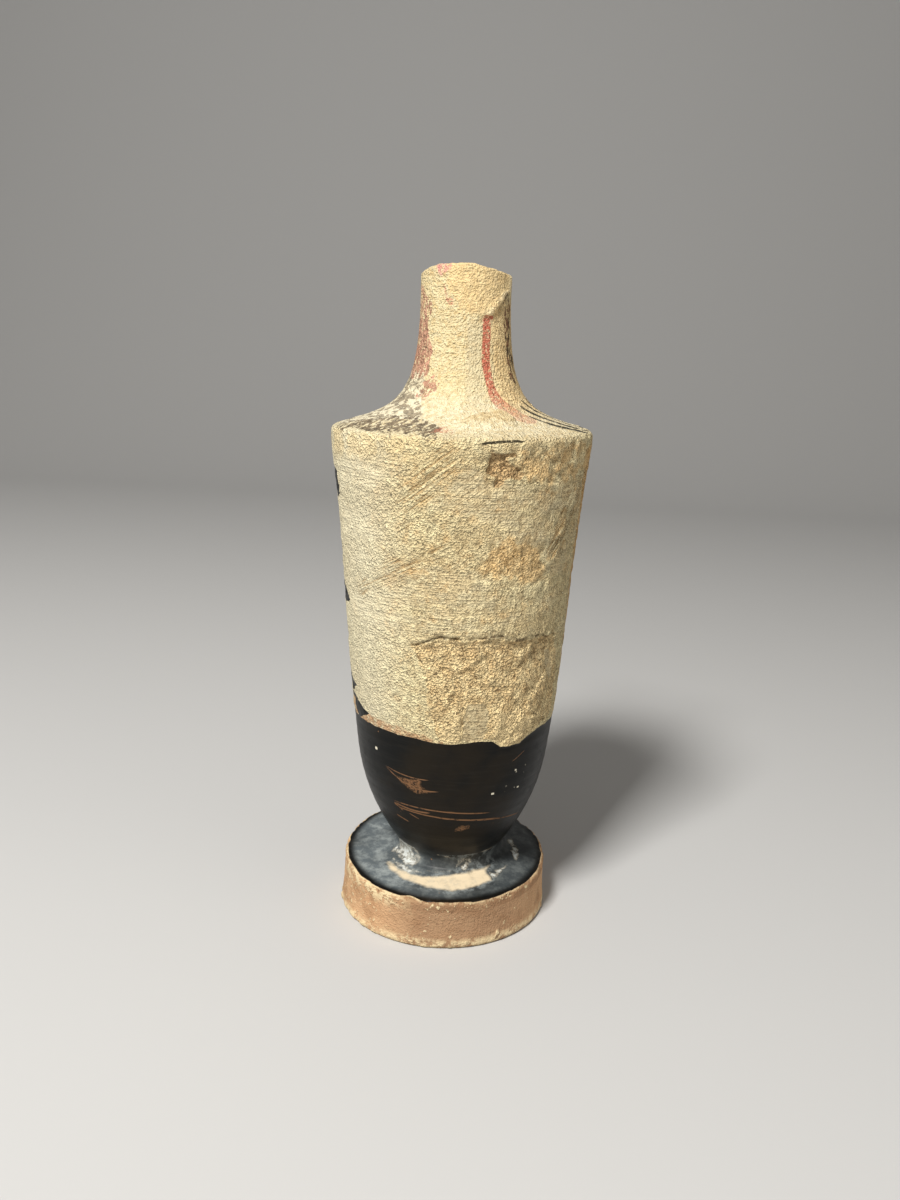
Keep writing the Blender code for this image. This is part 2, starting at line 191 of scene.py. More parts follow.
def shoulder_stretches():
    """The rounded edge, the shoulder, the neck and the rim of its break."""
    lowest = -math.degrees(math.atan(SHOULDER_FLARE))
    edge = arc(SHOULDER_RADIUS - SHOULDER_ROUNDING, SHOULDER_Z + SHOULDER_ROUNDING, SHOULDER_ROUNDING,
               lowest, 90 - math.degrees(SHOULDER_SLOPE))
    neck_part = 0.78
    stump = [NECK_RADIUS] * 2, [NECK_Z, BREAK_Z - BREAK_ROUNDING]
    rim = arc(NECK_RADIUS - BREAK_ROUNDING, BREAK_Z - BREAK_ROUNDING, BREAK_ROUNDING, 0, 90)
    return [
        (edge, 0.4),
        (shoulder_curve(np.linspace(0, neck_part, 200), 0), 0.62),
        (shoulder_curve(np.linspace(neck_part, 1, 60), 0), 0.47),
        (stump, 0.47),
        (rim, 0.32),
    ]


def inside_stretches():
    """The break, the bore, the underside of the shoulder, the inner wall and the bowl-shaped floor."""
    bore = NECK_RADIUS - NECK_WALL
    across = np.linspace(0, 1, 20)
    top = NECK_RADIUS - BREAK_ROUNDING + (bore + 2 * BREAK_ROUNDING - NECK_RADIUS) * across
    hollow = BREAK_Z - BREAK_HOLLOW * 4 * across * (1 - across)
    t = np.linspace(1, 0, 600)
    ceiling = np.array(shoulder_curve(t, SHOULDER_WALL + (NECK_WALL - SHOULDER_WALL) * t))
    ceiling = ceiling[:, ceiling[0] < wall_radius(np.minimum(ceiling[1], SHOULDER_Z)) - BODY_WALL]
    wall_end = FLOOR_Z + FLOOR_ROUNDING
    wall = np.linspace(ceiling[1, -1], wall_end, 60)
    turn = np.linspace(0, math.pi / 2, 30)
    reach = wall_radius(wall_end) - BODY_WALL
    return [
        ((top, hollow), 0.5),
        (arc(bore + BREAK_ROUNDING, BREAK_Z - BREAK_ROUNDING, BREAK_ROUNDING, 90, 180), 0.4),
        (([bore, bore], [BREAK_Z - BREAK_ROUNDING, NECK_Z]), 1.2),
        (ceiling, 3.6),
        ((wall_radius(wall) - BODY_WALL, wall), 7.0),
        ((reach * np.cos(turn), wall_end - FLOOR_ROUNDING * np.sin(turn)), 3.6),
    ]


def join_stretches(stretches):
    """Resamples each stretch and joins them, dropping the point that two neighbours share."""
    return np.concatenate([evenly(*stretch)[1:] for stretch in stretches])


outside = join_stretches(foot_stretches() + wall_stretches() + shoulder_stretches())
profile = np.concatenate([outside, join_stretches(inside_stretches())])[:-1]
row_radius, row_height = profile.T
is_outer = np.arange(len(profile)) < len(outside)
print(f"profile: {len(profile)} rings, {len(outside)} of them on the outer face")

# %% [markdown]
# ## The grid round the pot
#
# Each ring gets the same number of points. They stand closer together at the worn side, where most of
# the detail is, and a little wider apart at the plain back.

# %% Rings and columns
COLUMNS = 264
CROWDING = 0.39

share = np.arange(COLUMNS + 1) / COLUMNS - 0.5
column_angle = 360 * share - 360 * CROWDING / (2 * math.pi) * np.sin(2 * math.pi * share)
angle = np.broadcast_to(column_angle[:-1], (len(profile), COLUMNS))
turn = np.radians(angle)
radius = np.broadcast_to(row_radius[:, None], angle.shape)
height = np.broadcast_to(row_height[:, None], angle.shape)
outer = np.broadcast_to(is_outer[:, None], angle.shape)
closed = np.concatenate([[[0, FOOT_RECESS_DEPTH]], profile, [[0, FLOOR_Z]]])
tangent = closed[2:] - closed[:-2]
normal_r, normal_z = (np.stack([tangent[:, 1], -tangent[:, 0]]) / np.hypot(*tangent.T))[:, :, None]
place = np.stack([radius * np.sin(turn), -radius * np.cos(turn), height], axis=-1)
print(f"{angle.size} points, {np.diff(column_angle).min() / 360 * 2 * math.pi * 28:.2f} mm apart in front")


# %% [markdown]
# ## Noise and outlines
#
# Two tools shape everything that is uneven. The first is a random field that is smooth from place to
# place: lattice noise, which Blender's own Noise Texture also uses, but worked out here so that it can
# move points. Because it is read at points in space, it has no seam. The second is a closed outline
# drawn in millimetres on the unrolled wall, or on the shoulder seen from above. The distance to the
# outline, positive inside, tells every point whether it lies in that flake, chip or scar and how near
# its edge, and noise added to the distance makes the edge ragged.


# %% Noise in space
def lattice_noise(points, seed):
    """Random values from -1 to 1 at whole-number places, blended smoothly between them.

    Each of the eight corners around a point gets its value from a hash of its own place and the seed,
    and the corners are weighed by how near they are.
    """
    cell = np.floor(points).astype(np.int64)
    part = points - cell
    fade = part**3 * (part * (part * 6 - 15) + 10)
    total = np.zeros(points.shape[:-1])
    for corner in np.ndindex(2, 2, 2):
        number = (cell + corner) @ np.array([73856093, 19349663, 83492791]) + seed * 2654435
        number = (number ^ (number >> 13)) * 1274126177 & 0x7FFFFFFF
        number = (number ^ (number >> 15)) * 668265263 & 0x7FFFFFFF
        weight = np.prod(np.where(corner, fade, 1 - fade), axis=-1)
        total += weight * (number / 0x3FFFFFFF - 1)
    return total


def cloud(points, size, seed, octaves=3):
    """Several layers of lattice noise, each half as large and half as strong as the one before."""
    layers = [lattice_noise(points * 2**k / size, seed + k) * 0.5**k for k in range(octaves)]
    return sum(layers) / (2 - 0.5 ** (octaves - 1))


def ridges(points, size, seed):
    """Sharp crests where a cloud changes sign: 1 on the crest, falling to 0."""
    return 1 - np.minimum(np.abs(cloud(points, size, seed)) * 2.5, 1)


# %% Closed outlines and lines
def outline_depth(across, up, outline):
    """How deep a point lies inside a closed outline, in mm, and negative outside it.

    The distance is to the nearest of its straight sides. A point is inside when a level line from it
    crosses the sides an odd number of times.
    """
    corners = np.array(outline, float)
    nearest = np.full(across.shape, np.inf)
    inside = np.zeros(across.shape, bool)
    for (ax, ay), (bx, by) in zip(corners, np.roll(corners, -1, axis=0)):
        run, rise = bx - ax, by - ay
        t = np.clip(((across - ax) * run + (up - ay) * rise) / (run**2 + rise**2), 0, 1)
        nearest = np.minimum(nearest, np.hypot(across - ax - t * run, up - ay - t * rise))
        crosses = (ay > up) != (by > up)
        level = (up - ay) / rise if rise else np.zeros(across.shape)
        inside ^= crosses & (across < ax + level * run)
    return np.where(inside, nearest, -nearest)


MEAN_WALL_RADIUS, MEAN_NECK_RADIUS = 27.0, 10.8
WALL_SCALE = math.radians(1) * MEAN_WALL_RADIUS
NECK_SCALE = math.radians(1) * MEAN_NECK_RADIUS
FAR_OUTSIDE = -9.0
wall_across = angle * WALL_SCALE
neck_across = angle * NECK_SCALE
edge_noise = {size: cloud(place, size, int(10 * size), 4) for size in (1.0, 2.0, 4.0)}


def on_wall(outline, raggedness=0.5, size=2.0):
    """Depth inside an outline given as (angle, height) on the wall, with a ragged edge."""
    corners = [(a * WALL_SCALE, z) for a, z in outline]
    depth = outline_depth(wall_across, height, corners) + edge_noise[size] * raggedness
    return np.where((radius > 18) & (height < SHOULDER_TOP_Z + 2) & outer, depth, FAR_OUTSIDE)


def on_neck(outline, raggedness=0.4, size=2.0):
    """Depth inside an outline given as (angle, height) on the neck, with a ragged edge."""
    corners = [(a * NECK_SCALE, z) for a, z in outline]
    depth = outline_depth(neck_across, height, corners) + edge_noise[size] * raggedness
    return np.where((height > 124) & outer, depth, FAR_OUTSIDE)


def from_above(outline, raggedness=0.5, size=2.0):
    """Depth inside an outline given as (angle, radius) on a face that looks up, with a ragged edge."""
    corners = [(r * math.sin(math.radians(a)), -r * math.cos(math.radians(a))) for a, r in outline]
    return outline_depth(place[..., 0], place[..., 1], corners) + edge_noise[size] * raggedness


# %% [markdown]
# ## The rough patch and its crack
#
# Low on the front a sheet of the surface has flaked away. It broke off under a crack, where the older
# surface still stands as a small ledge, and it thickens again towards its lower end, where two tongues
# of clay lap over the black glaze. Only real steps in the surface can throw the small shadows that show
# here, so the patch is moved in the mesh and not left to a bump texture.

# %% Patch
CRACK = np.array([(-24, 74.2), (-21.5, 74.5), (-17.9, 74.7), (-14.6, 75.5), (-7.2, 76.8), (0, 76.4),
                  (7, 76.5), (14, 76.9), (21.6, 77.2), (27.4, 76.2), (33.8, 75.5), (40, 75.8),
                  (47.3, 75.7), (53.8, 74.7), (58, 75.2), (63, 74.6)])
PATCH = [(-21.5, 74.5), (-14.6, 75.5), (-7.2, 76.8), (7, 76.5), (21.6, 77.2), (33.8, 75.5), (47.3, 75.7),
         (58, 75.2), (64, 70.4), (68.8, 64.8), (68.2, 59.9), (70.9, 55.6), (65.9, 53.3), (53.7, 52.9),
         (46.7, 51.8), (40.2, 50.3), (33.4, 50.2), (25.9, 50.6), (22.7, 51.8), (16.6, 52), (3, 52),
         (-1, 51.7), (-6.3, 51.9), (-9.5, 53.5), (-11.7, 57.1), (-13.8, 60.6), (-13.3, 64.3), (-14.5, 68.5),
         (-17.9, 70), (-20.5, 72.2)]
SMOOTH_IN_PATCH = [(5.1, 58.1), (7.4, 61.2), (16.1, 61.7), (19, 59.3), (18.4, 54.9), (16.6, 52),
                   (4.5, 52), (5.4, 55)]
SMOOTH_AT_RIGHT = [(52, 72), (57, 71.5), (62, 66), (60, 63), (55, 66)]
LEFT_TONGUE = [(-9, 54.5), (-1, 57), (4.5, 60), (5.0, 53), (3, 51.0), (-3, 50.6), (-7, 51.4)]
RIGHT_TONGUE = [(19.6, 57), (24, 60), (34, 58), (46, 57), (57, 58), (52.7, 52.6), (46.7, 51.6), (40.2, 49.8),
                (33.4, 49.5), (25.9, 49.8), (21.5, 51.6)]
PATCH_LEDGES = [
    [(27, 50.8), (35, 56.5), (43.4, 60.8), (50.3, 65), (57, 67.5), (58.5, 65.5), (52.3, 59.4), (45.5, 54),
     (38, 50.6)],
    [(-6, 70.6), (3, 72.6), (14, 75), (16, 73.2), (9, 70.3), (1.9, 68.5), (-2, 67.2)],
    [(29, 70.4), (36, 73.4), (43, 75), (44, 73), (37, 70.8)],
    [(-13, 62), (-6, 66), (0, 64), (-4, 58), (-10, 57)],
]
TONGUE_RISE, LEDGE_RISE, FRACTURE_STRENGTH = 0.55, 0.34, 0.55
CRACK_STEP, CRACK_GROOVE, PATCH_SINK = 0.55, 0.55, 0.12

patch_depth = on_wall(PATCH, 0.7)
smooth_in_patch = np.maximum(on_wall(SMOOTH_IN_PATCH, 0.3), on_wall(SMOOTH_AT_RIGHT, 0.3))
tongues_of_clay = np.maximum(on_wall(LEFT_TONGUE, 0.5), on_wall(RIGHT_TONGUE, 0.5))
ledges = np.maximum.reduce([on_wall(outline, 0.5) for outline in PATCH_LEDGES])
crack_height = np.interp(angle, *CRACK.T) + edge_noise[1.0] * 0.35
over_crack = height - crack_height
near_crack = smooth_step((angle + 24) / 5) * smooth_step((63 - angle) / 6) * (outer & (radius > 20))
print(f"patch: {int((patch_depth > 0).sum())} points lie inside it")


def patch_relief():
    """Sunk under the crack and level with the wall lower down, over a coarse fracture texture."""
    inside = smooth_step(patch_depth / 1.5)
    fall = smooth_step(-over_crack / 0.5) * smooth_step(1 + over_crack / 20)
    along, beside = wall_across * 0.45 + height * 0.9, wall_across * 0.9 - height * 0.45
    slanted = np.stack([along, beside, 0 * beside], axis=-1)
    fracture = cloud(place, 4.5, 21, 4) * 0.75 + (ridges(place, 2.0, 22) - 0.5) * 0.34
    fracture += cloud(slanted * (1, 0.28, 1), 1.5, 23, 2) * 0.3
    rough = inside * (1 - 0.9 * smooth_step(smooth_in_patch / 0.5))
    step = CRACK_STEP * near_crack * fall * (0.3 + 0.7 * smooth_step((angle + 22) / 18))
    sunk = -inside * (step + PATCH_SINK)
    broken = 0.5 + 0.9 * edge_noise[4.0] * (angle > 2) + 0.7 * (angle < 2)
    groove = -CRACK_GROOVE * near_crack * np.exp(-((over_crack / 0.33) ** 2)) * np.maximum(broken, 0.25)
    lift = TONGUE_RISE * smooth_step(tongues_of_clay / 0.6) * (1 + 0.8 * edge_noise[2.0])
    ledge = LEDGE_RISE * smooth_step(ledges / 0.35)
    return sunk + rough * (fracture * FRACTURE_STRENGTH + ledge) + groove + lift


# %% [markdown]
# ## Chips and scrapes under the shoulder
#
# A flake is missing just under the shoulder's edge, and three bands of slanting scrapes cross the upper
# wall. A scrape is a bundle of long furrows side by side. Noise gives such furrows when it is stretched
# many times along their direction, so the wall is unrolled, turned and squeezed before it is read.

# %% Chip, scrapes and rough clay on the wall
CHIP = [(11.5, 116.6), (13.5, 117.3), (18.5, 117.6), (23.6, 117.2), (23.2, 116.2), (19.5, 115.9),
        (22.1, 114.9), (25.3, 113.8), (28.2, 112.6), (25.2, 111.3), (19.5, 111.9), (16.5, 109.6),
        (14.0, 110.2), (14.4, 112.2), (11.0, 112.9), (9.4, 113.4), (11.2, 115.0)]
CHIP_UPPER = [(11.5, 115.6), (13.3, 116.6), (15.5, 117.0), (19.8, 117.3), (19.6, 116.2), (16, 114.9),
              (12.6, 113.2), (10.6, 113.4)]
SMALL_STEP = [(-8.2, 118.8), (-5, 118.6), (-4, 115), (-7.6, 112.4), (-9.4, 113.4), (-12.1, 116.6),
              (-9.3, 116.9)]
SMOOTH_AREA = [(-2.1, 113.1), (4.5, 114.9), (10.7, 113.8), (12.6, 107.6), (8.9, 103.3), (-1.6, 104.2),
               (-4.7, 109.5)]
OCHRE_AREA = [(7.6, 94.6), (13.6, 100), (24.9, 101), (42.4, 97), (48.9, 88.6), (39.1, 86.9), (19.8, 88.9),
              (9.3, 90.6)]
ROUGH_TOP_RIGHT = [(16, 119.5), (48, 119.6), (84, 119.5), (86, 113), (66, 111), (52, 108.5), (40, 110),
                   (29, 111), (20, 113)]
CHIP_DEPTH, CHIP_UPPER_DEPTH, SMALL_STEP_DEPTH = 0.5, 0.4, 0.3
# For each band of scrapes: its steepness in degrees, a seed, its furrows' strength and its outline.
SCRAPES = {
    "scrape_left": (40, 42, 0.42, [(-26, 102.3), (-30.3, 108.6), (-16.2, 116.5), (-2.4, 119.9), (3.5, 117.9),
                                   (-4, 111.6), (-14.4, 105), (-23.8, 98.1)]),
    "scrape_low": (27, 44, 0.26, [(-58.5, 86.3), (-49.8, 82.5), (-21.6, 90.4), (-1.4, 98.9), (-12.2, 97.5),
                                  (-31.9, 93.2)]),
    "scrape_right": (57, 46, 0.55, [(47.2, 102.3), (40, 96), (52, 91.5), (66, 101), (76, 112.5), (64, 112)]),
}

chip_depth = on_wall(CHIP, 0.9)
small_step = on_wall(SMALL_STEP, 0.3, 1.0)
smooth_area = on_wall(SMOOTH_AREA, 0.9, 4.0)
ochre_area = np.maximum(on_wall(OCHRE_AREA, 2.0, 4.0), np.minimum(on_wall(ROUGH_TOP_RIGHT, 1.6, 4.0), 1.7))


def furrows(steepness, width, seed):
    """Noise stretched along a direction on the unrolled wall that climbs by the steepness, in degrees."""
    slant = math.radians(steepness)
    along = wall_across * math.cos(slant) + height * math.sin(slant)
    beside = height * math.cos(slant) - wall_across * math.sin(slant)
    return cloud(np.stack([along / 9, beside, 0 * beside], axis=-1), width, seed, 2)


scraped_here, scrape_lines = {}, 0
for name, (steepness, seed, strength, outline) in SCRAPES.items():
    scraped_here[name] = smooth_step(on_wall(outline, 3.0, 4.0) / 3.0 + 0.4)
    scrape_lines = scrape_lines + scraped_here[name] * furrows(steepness, 0.9, seed) * strength
print("points in each band of scrapes:", [int((part > 0.4).sum()) for part in scraped_here.values()])


def wall_relief():
    """Chips cut in with a sharp edge, furrows, and a rough field where the slip has gone."""
    cut = CHIP_DEPTH * smooth_step(chip_depth / 0.6) * (0.8 + 0.9 * edge_noise[2.0])
    cut += CHIP_UPPER_DEPTH * smooth_step(on_wall(CHIP_UPPER, 0.5, 1.0) / 0.5)
    cut += SMALL_STEP_DEPTH * smooth_step(small_step / 0.4)
    cut += smooth_step(ochre_area / 1.5) * (0.1 + 0.65 * np.maximum(cloud(place, 1.8, 53), -0.1))
    return scrape_lines - cut


# %% [markdown]
# ## Scars of the handle
#
# A handle once ran from the neck, just under the mouth, down to the shoulder. Where it broke off, a
# rough pad of clay stands proud of the neck, with a sharp lower edge at the right, and a low mound is
# left on the shoulder. The neck itself ends in a rough break.

# %% Handle scars
NECK_SCAR = [(-37, 158), (-27, 155.2), (-25, 153.2), (-26, 151.4), (-22, 149.7), (-12.6, 148.1),
             (-9, 146.4), (3, 145.2), (21.4, 144.7), (33.5, 145), (45, 146.8), (53, 148.5), (60.7, 150.3),
             (70, 151.7), (72, 158)]
SHOULDER_MOUND = [(-7, 24.6), (3, 19.8), (12, 17.9), (23.8, 17.0), (34, 18.4), (35, 22), (24, 26), (5, 27)]
SCAR_RISE, SCAR_LIP_RISE, MOUND_RISE = 0.6, 0.55, 1.3

scar_depth = on_neck(NECK_SCAR, 0.35)
by_neck = (height > SHOULDER_TOP_Z) & outer & (height < 132)
mound_depth = np.where(by_neck, from_above(SHOULDER_MOUND, 0.7), FAR_OUTSIDE)


def scar_relief():
    """Two proud pads. The one on the neck has a crisp lip at its lower right and fades in at its left."""
    crisp = 0.35 + 2.6 * smooth_step((25 - angle) / 30)
    pad = smooth_step(scar_depth / crisp) * (SCAR_RISE + 0.22 * edge_noise[4.0] + 0.08 * edge_noise[1.0])
    lip = SCAR_LIP_RISE * np.exp(-(((scar_depth - 0.9) / 1.1) ** 2)) * smooth_step((angle - 8) / 20)
    mound = smooth_step(mound_depth / 1.4) * (MOUND_RISE + 0.3 * edge_noise[2.0])
    return pad + lip * (scar_depth > -1) + mound * smooth_step((26.5 - radius) / 6)


# %% [markdown]
# ## Foot, glaze and the pot's own unevenness
#
# The slip is a thin coat over the glaze, so the black band lies a little lower. The foot's edge is
# nicked, and hard crumbs of burial soil cling to its side. Everywhere else the wall carries what a
# hand-made surface has: slow swells, faint rings from the wheel, and the grain of the worn slip.

# %% Band, foot and general unevenness
BAND = np.array([(-180, 51.4), (-120, 51.9), (-85, 51.6), (-70, 51.9), (-52, 52.2), (-23, 52.0),
                 (-9, 51.5), (3, 51.5), (16, 51.9), (22, 51.7), (26, 50.3), (33, 50.0), (40, 50.2),
                 (47, 51.5), (54, 52.2), (70, 52.3), (90, 52.0), (130, 51.3), (180, 51.4)])
SLIP_THICKNESS, SWELL_HEIGHT, WHEEL_RING_HEIGHT = 0.15, 0.16, 0.025
FLAKING_DEPTH, PIT_DEPTH, CRUMB_RISE, NICK_DEPTH = 0.1, 0.24, 0.42, 1.1

over_band = height - np.interp(angle, *BAND.T) - edge_noise[2.0] * 0.28
under_slip = smooth_step((0.3 - over_band) / 0.6) * outer
foot_side = smooth_step((FOOT_SIDE_HEIGHT - 0.6 - height) / 0.8) * outer * (radius > 24)
foot_top = outer & (height < STEM_Z + 4.5) & (radius < FOOT_TOP_RADIUS)
crumb_zone = np.maximum(smooth_step((height - 11.0) / 1.6), smooth_step((3.6 - height) / 2.4)) * foot_side
crumb_zone = crumb_zone * (0.55 + 0.45 * smooth_step((20 - angle) / 40))
crumb = smooth_step((edge_noise[2.0] - 0.1 - 0.5 * (1 - crumb_zone)) / 0.14) * foot_side


def general_relief():
    """Slow swells, wheel rings and grain; smoother on the glaze, rougher on the worn slip."""
    on_slip = smooth_step((over_band + 0.2) / 0.5) * outer
    on_wall_share = 1 - 0.6 * smooth_step((height - SHOULDER_TOP_Z) / 4)
    swell = cloud(place, 20, 81, 2) * SWELL_HEIGHT
    rings = np.sin(height * 2.1 + 3 * cloud(place, 30, 82, 1)) * WHEEL_RING_HEIGHT
    worn = cloud(place, 7, 83, 2)
    grain = cloud(place, 1.3, 84, 2) * (0.14 + 0.12 * worn)
    flaked = smooth_step((cloud(place * (0.7, 0.7, 1.2), 3.4, 85, 4) - 0.08) / 0.07) * FLAKING_DEPTH
    pits = smooth_step((cloud(place, 1.5, 86, 2) - 0.38) / 0.1) * PIT_DEPTH
    rough = (grain - flaked - pits) * (1 - 0.7 * smooth_step(smooth_area / 1.5)) * on_wall_share
    return swell + rings + on_slip * rough - SLIP_THICKNESS * under_slip * (height > STEM_Z)


def foot_relief():
    """Crumbs of soil on the side, and a nicked edge where the side meets the top."""
    at_edge = np.exp(-(((height - FOOT_SIDE_HEIGHT + 0.5) / 0.8) ** 2)) * outer
    nicks = at_edge * (radius > FOOT_TOP_RADIUS - 1.4) * np.maximum(edge_noise[2.0], 0) * NICK_DEPTH
    side = foot_side * (edge_noise[4.0] * 0.12 + edge_noise[1.0] * 0.05)
    return side + crumb * CRUMB_RISE - nicks


relief = (patch_relief() + wall_relief() + scar_relief() + general_relief() + foot_relief()) * outer
print(f"relief from {relief.min():.2f} to {relief.max():.2f} mm")


# %% [markdown]
# ## Placing every ring
#
# The upright pot is now put where the CAD puts it: the foot's oval and its slanting top, the uneven
# break, and then the body leant over on its stem. The relief is held in where it would pass the CAD's
# own outermost places, at the shoulder's edge, at the break and under the foot.

# %% Placing
BREAK = np.array([(-180, 0.9), (-120, 1.1), (-85, 1.5), (-62, 0.75), (-50, 0.3), (-37, 0.05), (-10, 0),
                  (10, 0), (27, 0.7), (50, 1.25), (64, 1.8), (85, 1.6), (120, 1.1), (180, 0.9)])


def hold_in(relief):
    """Keeps relief at or under nothing near the widest place, and fades it out at the standing ring."""
    widest = np.exp(-(((height - SHOULDER_Z - 1.2) / 1.6) ** 2)) * (radius > 28)
    held = relief - widest * np.maximum(relief + 0.08, 0)
    return held * smooth_step(height / 1.6) * np.where(radius > 12.9, 1, 0.5)


def place_rings(relief):
    """Relief along the normal, the foot's unevenness, the break, and the lean about the stem."""
    above_foot = np.clip((height - FOOT_SIDE_HEIGHT) / FOOT_TOP_RISE, 0, 1)
    on_stump = height > NECK_Z
    push_r, push_z = np.where(on_stump, 1, normal_r), np.where(on_stump, 0, normal_z)
    oval = FOOT_OVAL * np.cos(2 * (turn - math.radians(FOOT_OVAL_ANGLE))) * radius / FOOT_BASE_RADIUS
    share_up = smooth_step((height - FOOT_EDGE_ROUNDING) / (FOOT_SIDE_HEIGHT - FOOT_EDGE_ROUNDING))
    fade = 1 - smooth_step((height - STEM_Z) / FOOT_TILT_FADE)
    tilt = FOOT_TOP_TILT * np.cos(turn - math.radians(FOOT_TOP_TILT_ANGLE)) * radius / FOOT_TOP_RADIUS
    crumbled = np.maximum(edge_noise[4.0] + 0.2, 0) * 0.5 * smooth_step((height - BREAK_Z + 1.2) / 0.9)
    drop = np.interp(angle, *BREAK.T) * smooth_step((height - NECK_Z) / (NECK_STUMP_HEIGHT / 2))
    r = radius + relief * push_r + oval * (1 - above_foot)
    z = height + relief * push_z + tilt * share_up * fade * outer - drop - crumbled
    return set_on_foot(r * np.sin(turn), -r * np.cos(turn), z, above_foot)


def set_on_foot(x, y, z, share):
    """A point of the upright pot, moved off centre and leant over the stem towards -X."""
    lean = BODY_LEAN * share
    up = z - STEM_Z
    across = x * np.cos(lean) - up * np.sin(lean) + FOOT_X + (STEM_X - FOOT_X) * share
    return np.stack([across, y, STEM_Z + x * np.sin(lean) + up * np.cos(lean)], axis=-1)


points = place_rings(hold_in(relief))
ends = [set_on_foot(0.0, 0.0, FOOT_RECESS_DEPTH, 0.0), set_on_foot(0.0, 0.0, FLOOR_Z, 1.0)]
vertices = np.concatenate([points.reshape(-1, 3), ends]) * MILLIMETRE
pot_box = np.array([vertices.min(axis=0), vertices.max(axis=0)]) / MILLIMETRE
print("pot box in mm:", *pot_box.round(2))

# %% [markdown]
# ## The mesh
#
# Neighbouring rings are joined by four-sided faces, and a fan of triangles closes each end. The corners
# are listed so that faces look out of the clay. The UV map unrolls the pot: u runs once round, with the
# worn side at 0.5, and v runs along the profile. Its seam lies at the back.

# %% Faces and UV map
rows = len(profile)
ring = np.arange(COLUMNS)
following = (ring + 1) % COLUMNS
low = (np.arange(rows - 1) * COLUMNS)[:, None]
quads = np.stack([low + ring, low + following, low + COLUMNS + following, low + COLUMNS + ring], axis=-1)
first, last = rows * COLUMNS, rows * COLUMNS + 1
start_fan = np.stack([np.full(COLUMNS, first), following, ring], axis=-1)
top_ring = (rows - 1) * COLUMNS
end_fan = np.stack([np.full(COLUMNS, last), top_ring + ring, top_ring + following], axis=-1)
faces = quads.reshape(-1, 4).tolist() + start_fan.tolist() + end_fan.tolist()

steps = np.hypot(*np.diff(closed, axis=0).T)
along = np.cumsum(steps)[:-1] / steps.sum()
round_share = column_angle / 360 + 0.5
here, beyond = round_share[:-1], round_share[1:]
middle = (here + beyond) / 2


def corners_uv(u, v):
    """One row of UV places for each corner of a block of faces."""
    return np.stack(np.broadcast_arrays(u, v), axis=-1).reshape(-1, 2)


u_quads = np.stack([here, beyond, beyond, here], axis=-1)
v_quads = np.stack([along[:-1], along[:-1], along[1:], along[1:]], axis=-1)[:, None]
uv = np.concatenate([
    corners_uv(u_quads, v_quads),
    corners_uv(np.stack([middle, beyond, here], axis=-1), [0, along[0], along[0]]),
    corners_uv(np.stack([middle, here, beyond], axis=-1), [1, along[-1], along[-1]]),
])

mesh = bpy.data.meshes.new("worn lekythos")
mesh.from_pydata(vertices.tolist(), [], faces)
mesh.uv_layers.new(name="unrolled").data.foreach_set("uv", uv.ravel())
mesh.shade_smooth()
pot = bpy.data.objects.new("worn_lekythos", mesh)
scene.collection.objects.link(pot)
triangles = sum(len(face.vertices) - 2 for face in mesh.polygons)
print(f"pot: {len(mesh.vertices)} points, {triangles} triangles")

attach(pot, "root")
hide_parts("lekythos")

# %% [markdown]
# ## Where paint, wear and stains lie
#
# What is only colour isn't raised. Each painted or worn place is drawn as an outline once more, and the
# depth inside it is stored on the mesh as an attribute, one number for every point. A material reads the
# number by name. Because a depth changes evenly from point to point, its zero line stays crisp even
# between the points, and the shader can roughen it with finer noise than the mesh could hold.

# %% Worn paint
DARK_TONGUES = [(-62, 30.2), (-55, 29), (-45, 29.3), (-35.4, 30.3), (-41.4, 28.9), (-28.4, 30.3),
                (-33.7, 28.2), (-25.3, 29.1), (-19.6, 30.2), (-23.8, 28.0), (-14.2, 30.2), (-9.2, 30.2),
                (-10.2, 28.0), (-9, 25.4), (-14, 23.0), (-22, 20.8), (-29, 19.4), (-40, 19.8),
                (-52, 21.2), (-60, 23.0), (-72, 26.2), (-74, 29.5)]
SPECKLED_SHOULDER = [(-104, 29.5), (-74, 29), (-60, 25), (-44, 22), (-27, 21.4), (-26, 18.2), (-34, 16),
                     (-39, 14.2), (-42, 12.4), (-70, 11.6), (-112, 11.6), (-131, 13.5), (-116, 16.5),
                     (-136, 20.5), (-113, 23.5), (-121, 26.5)]
NECK_LEFT = [(-106, 156), (-88, 153.5), (-67, 151.6), (-59.6, 148.6), (-50.5, 148.3), (-42.7, 147.4),
             (-47.4, 145.6), (-50.2, 142.8), (-45.6, 139.6), (-42.3, 137.5), (-36.4, 137.1),
             (-41.8, 135.7), (-43, 134.2), (-40, 132.7), (-48, 131.4), (-62, 130.6), (-84, 131.8),
             (-100, 135), (-94, 141), (-104, 147)]
BLOTCH_UNDER_IT = [(-31, 132.6), (-27, 130.2), (-33, 127), (-42, 127.6), (-46, 130.4)]
NECK_RIGHT = [(52, 149.5), (58, 150.6), (66, 150.4), (78, 147), (74, 141), (80, 136), (72, 131),
              (63, 129), (55, 133), (58, 138), (53, 144)]
RED_STRIPE = np.array([(27.1, 144.9), (27.3, 141), (25.8, 137.8), (25.1, 135.3), (26.4, 132.5),
                       (27.8, 130), (30, 127.6), (33.9, 126.2), (39, 124.9), (42.8, 123.6), (44.8, 122.8),
                       (47.2, 121.9)])
RED_BAR = [(22.6, 145.3), (36.8, 145.2), (36.4, 144.1), (22.8, 144.0)]
RED_ON_SHOULDER = [(-14.5, 27.6), (-11.5, 24.6), (-2, 25.0), (-4, 28.5)]
RED_ON_SCAR = [(-30.6, 151.9), (-25.8, 151.6), (-21.5, 148.8), (-13, 148.6), (-14, 146.9), (-22, 146.6),
               (-27.5, 149.0)]
